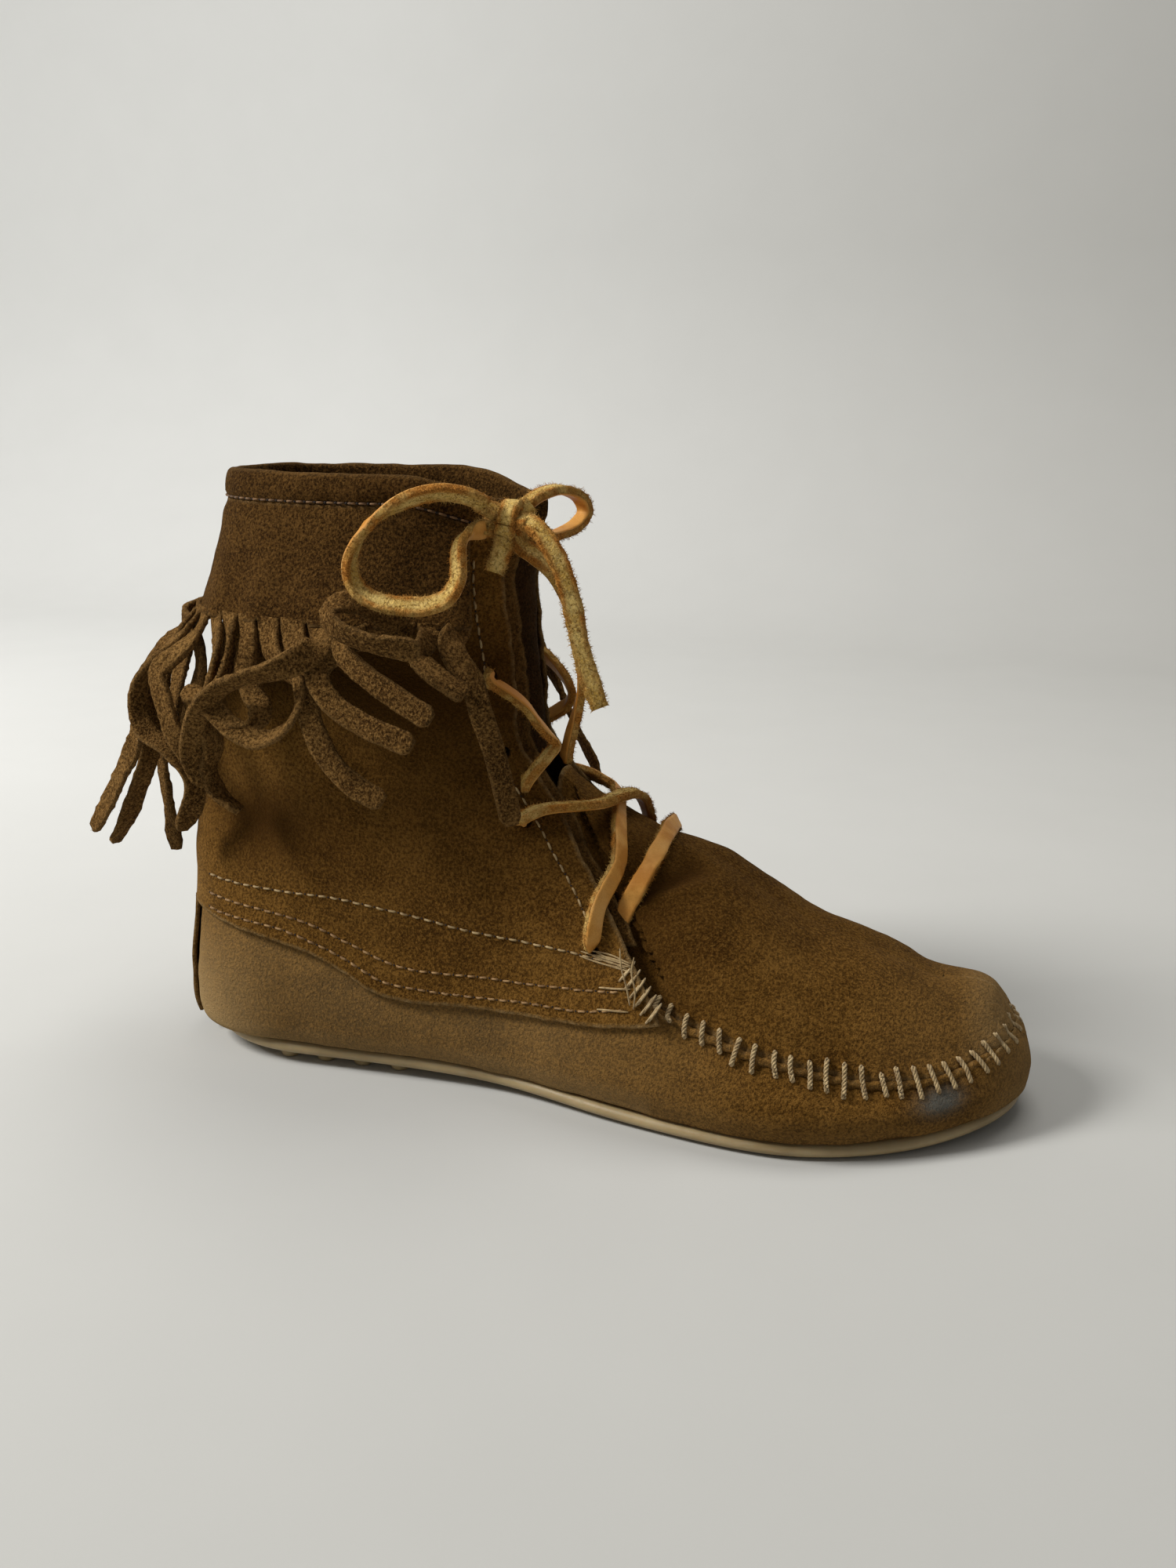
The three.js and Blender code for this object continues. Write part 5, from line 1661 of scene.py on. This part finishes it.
def collar_band():
    """A folded band round the top, sewn down along its lower edge."""
    steps = 220
    half_thick = 2.2
    stand_off = 1.4
    height = COLLAR_TOP - COLLAR_SEAM
    section = []
    outline = 22
    for k in range(outline):
        angle = 2 * math.pi * k / outline
        across = math.cos(angle)
        up = math.sin(angle)
        section.append((half_thick * sign(across) * abs(across) ** 0.75,
                        height / 2 * sign(up) * abs(up) ** 0.8))
    rings = []
    for i in range(steps + 1):
        turn = mix(-COLLAR_SPREAD, COLLAR_SPREAD, i / steps) or 1e-4
        z = COLLAR_SEAM + height / 2
        _, out = shaft_directions(turn, z)
        for across, up in section:
            level = z + up
            base = shaft_point(turn, level)
            p = base + out * (stand_off + across)
            p[2] -= collar_drop(base[0])
            tuck = 0.6 * math.exp(-((up + height / 2 - 1.6) / 1.1) ** 2)
            wobble = 0.45 * fractal(p, 16, 61) + 0.2 * fractal(p, 4, 62) - (tuck if across > 0 else 0)
            p += out * wobble * (1 if across > 0 else -0.4)
            p[2] += 0.5 * fractal(p, 14, 63) * (1 if up > 0 else 0)
            rings.append(p)
    obj = new_object("collar_band_suede", np.array(rings), tube_faces(steps + 1, outline), SUEDE_SKIRT)
    tidy_mesh(obj)
    # Painted highlight: the top of the band is lightened where the light falls on it.
    top = [1.0 if 3 < k < 8 else 0.0 for k in range(outline)] * (steps + 1)
    mark(obj, "wear_and_painted_light", np.array(top) * 0.2)
    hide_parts("collar_band")
    line = []
    sewn = COLLAR_SPREAD - 0.01
    for i in range(steps * 2):
        turn = mix(-sewn, sewn, i / (steps * 2 - 1)) or 1e-4
        _, out = shaft_directions(turn, COLLAR_SEAM)
        p = shaft_point(turn, COLLAR_SEAM + 1.7) + out * (stand_off + 1.7)
        p[2] -= collar_drop(p[0])
        line.append((p, out))
    holes = stitch_row("stitches_collar", line, THREAD_DARK, 3.1, 0.8, 0.3)
    needle_holes("needle_holes_collar", holes, 0.45)


def strand_turn(index):
    """How far round the shaft a strand hangs."""
    return mix(-SKIRT_SPREAD, SKIRT_SPREAD, (0.5 + index) / STRAND_COUNT)


def fringe_skirt():
    """The hanging flap, slit at its foot where the strands part."""
    per_strand = 10
    columns = STRAND_COUNT * per_strand
    slits = [1.6 + 1.4 * fractal((index * 3.7, 2, 5), 3, 71) for index in range(STRAND_COUNT + 1)]

    def point(t, v):
        turn = mix(-SKIRT_SPREAD, SKIRT_SPREAD, t) or 1e-4
        column = round(t * columns)
        boundary = column % per_strand == 0
        low = SKIRT_EDGE + (max(1.0, slits[column // per_strand]) if boundary else 0.0)
        z = mix(low, COLLAR_SEAM + 1.0, v)
        _, out = shaft_directions(turn, z)
        p = shaft_point(turn, z) + out * skirt_offset(z)
        p[2] -= collar_drop(p[0]) * clamp01((z - SKIRT_EDGE) / (COLLAR_SEAM - SKIRT_EDGE))
        return p

    points, normals = lattice(point, columns, 34)
    from_centre = points[:, :, :2] - np.array(SHAFT_CENTRE[:2])
    outward = np.sign((normals[:, :, :2] * from_centre).sum(axis=2, keepdims=True))
    normals = normals * outward
    hang = (COLLAR_SEAM - points[:, :, 2]) / (COLLAR_SEAM - SKIRT_EDGE)
    turns = np.linspace(0, 1, columns + 1)[:, None]
    flutes = np.sin(turns * math.pi * 2 * 9 + 1.3 * np.sin(turns * 23)) * 0.8
    relief = np.clip(hang, 0, 1) ** 1.4 * flutes
    relief += 0.5 * noise_field(points, 18, 72) * np.clip(hang * 2, 0.1, 1)
    relief += 0.12 * noise_field(points, 4, 73)
    shifted = raised(points, normals, relief)
    obj = sheet_mesh("fringe_skirt_suede", shifted[::-1], normals[::-1], 0, STRAND_THICKNESS, SUEDE_SKIRT)
    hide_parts("fringe_skirt")
    return shifted, normals


# Each of the strands that hang by themselves, from the back round to the medial front: how far it
# sweeps towards the toe and how far it lifts off the shoe, in degrees, and its length.
HANGING = [
    (10, 36, 74), (10, 24, 66), (8, 30, 62), (4, 20, 62), (0, 24, 60), (-6, 18, 62), (-2, 22, 60),
    (4, 16, 62), (2, 20, 60), (8, 14, 62), (6, 18, 60), (12, 12, 62), (14, 14, 60), (20, 8, 62),
]
# Strands that lie in tangles of their own: the route below the skirt and the twist along it in degrees.
TANGLES = {
    0: (20, [(90.1, -36, 133.7), (92.6, -38, 129.2), (97.2, -40, 124.6), (99.8, -41, 116.8),
        (102.6, -39, 106.4), (104.4, -37, 97.2), (105.7, -35, 88.6), (106.4, -34, 83.6)]),
    1: (-25, [(84.2, -39, 133.9), (83.4, -43, 131), (86.8, -45.5, 128.2), (92.2, -46.5, 124.8),
        (97.3, -46, 121.8)]),
    2: (35, [(74.5, -41, 140.3), (68.7, -44.5, 144.4), (63.6, -48, 144.6), (62.2, -51.5, 142),
        (65.6, -54, 138.8), (74.5, -55, 136.1), (81.4, -54.5, 135.1), (87.7, -53, 134.2)]),
    3: (20, [(66.6, -42, 134.5), (63.3, -45, 133.8), (64.3, -47.5, 131.1), (71, -50, 126.4),
        (80.6, -51.5, 121), (90, -52, 116)]),
    4: (-22, [(61.5, -42.5, 132.6), (57.5, -45, 128.9), (56.2, -47, 124.9), (60.7, -49, 118.5),
        (70.8, -50.5, 112.9), (77.9, -51, 110.5), (84.3, -51, 108.3)]),
    5: (-65, [(56.1, -44, 133.2), (53.3, -48.5, 130.2), (46.8, -51, 126.8), (37.9, -51, 124.1),
        (29.5, -50, 120.6), (22.6, -48.5, 114.6), (18.7, -47, 107.8), (16.5, -45, 100.4),
        (17.1, -43.5, 94.8), (19.3, -42.5, 90.8)]),
    6: (-30, [(47.7, -41, 130.9), (50.7, -43.5, 125.8), (52.2, -46, 120.6), (54.4, -48, 112.2),
        (59.6, -48.5, 101.8), (66.5, -48, 95.2), (74.1, -47, 91)]),
    7: (60, [(39.8, -40, 130.3), (44.8, -42.5, 124.9), (50.4, -45, 122.1), (50.7, -47, 116.8),
        (47.3, -48.5, 110.4), (40.1, -49, 106.6), (32.1, -49, 109), (25.7, -47.5, 113.5),
        (21.5, -46, 115.8)]),
    8: (-70, [(32.1, -38.5, 130.7), (31.8, -39.5, 124), (34.2, -41.5, 117.9), (37.5, -43.5, 114.1),
        (36.4, -45, 110.5), (32, -46.5, 109.9), (27.2, -46.5, 111)]),
    9: (50, [(26.5, -37.5, 130.6), (26, -39, 124.3), (23.4, -41, 119.4), (18.9, -42.5, 116.8),
        (13.9, -42.5, 117)]),
    10: (60, [(21, -35, 129.9), (21, -37.5, 123), (20.3, -40, 116), (20.2, -42, 109), (21.6, -42, 101.5),
        (19.1, -41, 94.3), (21.6, -40, 87.3), (27.3, -39, 82.6)]),
    11: (-50, [(11.5, -31, 130.3), (6.5, -34, 125.3), (2.2, -36, 120.7), (5.3, -38.5, 112.9),
        (8.5, -39, 103.3), (12.1, -38, 97.2), (14.6, -37, 92.1)]),
    12: (70, [(6.1, -27, 130.7), (-0.4, -29.5, 124.5), (-5.8, -31, 116.4), (-6.8, -32, 108.1),
        (-3.7, -33.5, 102.2), (3.6, -35, 98.6), (9.8, -35, 92.4), (10.1, -33.5, 84.6), (3.9, -31, 72.7)]),
    13: (-40, [(1.6, -20.5, 130.8), (-6.5, -22, 122.9), (-11, -23, 114.6), (-12.4, -23.5, 105.9),
        (-14, -23, 97.3), (-21.3, -21, 85.3), (-28.3, -19.5, 73.9), (-34.3, -18, 65.9)]),
    14: (45, [(-1.7, -13, 129.9), (-8.4, -14, 121), (-12.6, -14.5, 111.3), (-14, -15, 101.5),
        (-14.2, -15.5, 91.8), (-20.1, -14.5, 78.6), (-25.8, -13.5, 67.6), (-30.8, -12.5, 60.2)]),
    15: (-50, [(-4.2, -5, 128.9), (-9.9, -6, 119.5), (-13.4, -7, 108.9), (-15.4, -7.5, 97.3),
        (-15.1, -8, 87.4), (-13.9, -8, 74.7), (-13, -8, 65.3), (-12.2, -8, 57.8)]),
    16: (-20, [(-4.6, -5, 132.5), (3, -17, 130.8), (9.4, -24.4, 126.6), (10.6, -26, 121), (9.2, -26.6, 114.6),
        (6, -26.4, 107.6), (2, -25, 100), (-2, -23, 92.6)]),
    17: (-70, [(-6, 8, 130), (-10, 5, 121), (-12.5, 1, 111), (-12, -2, 101), (-9.5, -3, 91), (-9, -3, 81)]),
}
# A strand that lies under the bow, with a reach out from its root; the point that the reach gives is not
# used.
HELD_STRANDS = {2: 60.0}


def strand_root(index):
    """Where a strand leaves the flap, with the directions along and out of it."""
    turn = strand_turn(index)
    forward, out = shaft_directions(turn, SKIRT_EDGE)
    root = shaft_point(turn, SKIRT_EDGE) + out * (skirt_offset(SKIRT_EDGE) - STRAND_THICKNESS / 2)
    return root, forward, out


def strand_route(index):
    """The middle line of a strand from inside the skirt's foot to its tip, and its twist."""
    root, forward, out = strand_root(index)
    start = [root + np.array([0, 0, 1.8]) - out * 0.3, root]
    if index in TANGLES:
        twist, points = TANGLES[index]
        return spline([*start, *points], 56), twist
    sweep, lift, length = HANGING[index - len(TANGLES)]
    down = np.array([0, 0, -1.0])
    at = root
    points = list(start)
    steps = 9
    root_lift, sway, swing = 22, 26, 8
    for k in range(steps):
        bend = smooth(0, 0.45, (k + 0.5) / steps)
        swept = math.radians(sweep * bend + sway * fractal((k * 1.9, index * 5.3, 0), 6, 81))
        lifted = math.radians(mix(root_lift, lift, bend) + swing * fractal((k * 1.3, index * 4.1, 9), 6, 82))
        level = down * math.cos(swept) + forward * math.sin(swept)
        at = at + (level * math.cos(lifted) + out * math.sin(lifted)) * length / steps
        points.append(at)
    return spline(points, 56), 70 * fractal((index * 3.1, 4, 4), 2, 83)


def strand_mesh(index):
    """One strand: a napped strip that twists and curls along its route, with loose fibres."""
    route, twist = strand_route(index)
    _, _, root_out = strand_root(index)
    outs = []
    last = len(route) - 1
    for i, p in enumerate(route):
        away = unit(p - np.array([*SHAFT_CENTRE[:2], p[2]]))
        share = smooth(0.05, 0.3, i / last)
        outs.append(root_out * (1 - share) + away * share)
    columns = 8
    half_count = columns / 2
    next_root = strand_root(index + 1 if index + 1 < STRAND_COUNT else index - 1)[0]
    root_width = 0.95 * float(np.linalg.norm(next_root - strand_root(index)[0]))
    rings = []
    seats = []
    for i, (across, out) in enumerate(route_frames(route, outs)):
        share = i / last
        turn = twist * smooth(0.05, 0.5, share) + 25 * smooth(0.1, 0.4, share) * fractal(route[i], 18, index)
        turn = math.radians(turn)
        wide = across * math.cos(turn) + out * math.sin(turn)
        face = out * math.cos(turn) - across * math.sin(turn)
        width = mix(root_width, STRAND_WIDTH, smooth(0.1, 0.4, share))
        width *= 1 + 0.06 * fractal(route[i], 9, index + 40)
        width *= 1 - 0.42 * smooth(last - 2.6, last, i) ** 2
        curl = 0.7 * smooth(0.1, 0.5, share) * fractal(route[i], 24, index + 60)
        row = []
        for k in range(columns + 1):
            c = (k - half_count) / half_count
            ragged = 0.2 * fractal((share * 60, c, index), 1.2, 84) if abs(c) == 1 else 0.0
            row.append((c * (width / 2 + ragged), curl * (c * c - 0.4)))
        thick = mix(STRAND_THICKNESS, NAPPED_THICKNESS, smooth(0, 0.2, share)) / 2
        for layer, order in ((1, row), (-1, reversed(row))):
            for a, b in order:
                rounding = 1 - 0.4 * (abs(a) > width * 0.49)
                nap = 0.22 * fractal((a + 31 * layer, share * 70, index * 9), 1.5, 85)
                rings.append(route[i] + wide * a + face * (b + layer * (thick * rounding + nap)))
        if i > 3:
            for side in (-1, 1):
                rim = route[i] + wide * side * width / 2
                for lift in (-0.4, 0.0, 0.4):
                    seats.append((rim + face * lift, wide * side + face * lift))
                seats.append((route[i] + wide * side * width * 0.25 + face * thick, face))
    sides = 2 * (columns + 1)
    faces = tube_faces(last + 1, sides, caps=False)
    for k in range(columns):
        faces.append((k + 1, k, sides - 1 - k, sides - 2 - k))
        a = last * sides
        faces.append((a + k, a + k + 1, a + sides - 2 - k, a + sides - 1 - k))
    number = f"{index + 1:02d}"
    fibres = hairs(seats, 0.8, index + 500, 0.75)
    vertices, faces = combine([(np.array(rings), faces), fibres])
    obj = new_object(f"strand_{number}", vertices, faces, SUEDE_FRINGE, None)
    rim = []
    for i in range(last + 1):
        for k in range(sides):
            column = k if k <= columns else sides - 1 - k
            rim.append(0.5 if column in (0, columns) or i == last else 0.0)
    mark(obj, "edge", rim + [1.0] * len(fibres[0]))
    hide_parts(f"fringe_strand_{number}")
    far = route[1] + root_out * HELD_STRANDS[index] if index in HELD_STRANDS else route[14]
    tuple(to_row(route[1]))
    tuple(to_row(far))
    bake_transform(obj)


collar_band()
fringe_skirt()
for strand_index in range(STRAND_COUNT):
    strand_mesh(strand_index)


# ---------------------------------------------------------------- the counter keeps its CAD solid
def dress_counter():
    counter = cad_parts["heel_counter"]
    counter.data.materials.clear()
    counter.data.materials.append(BOARD)


dress_counter()
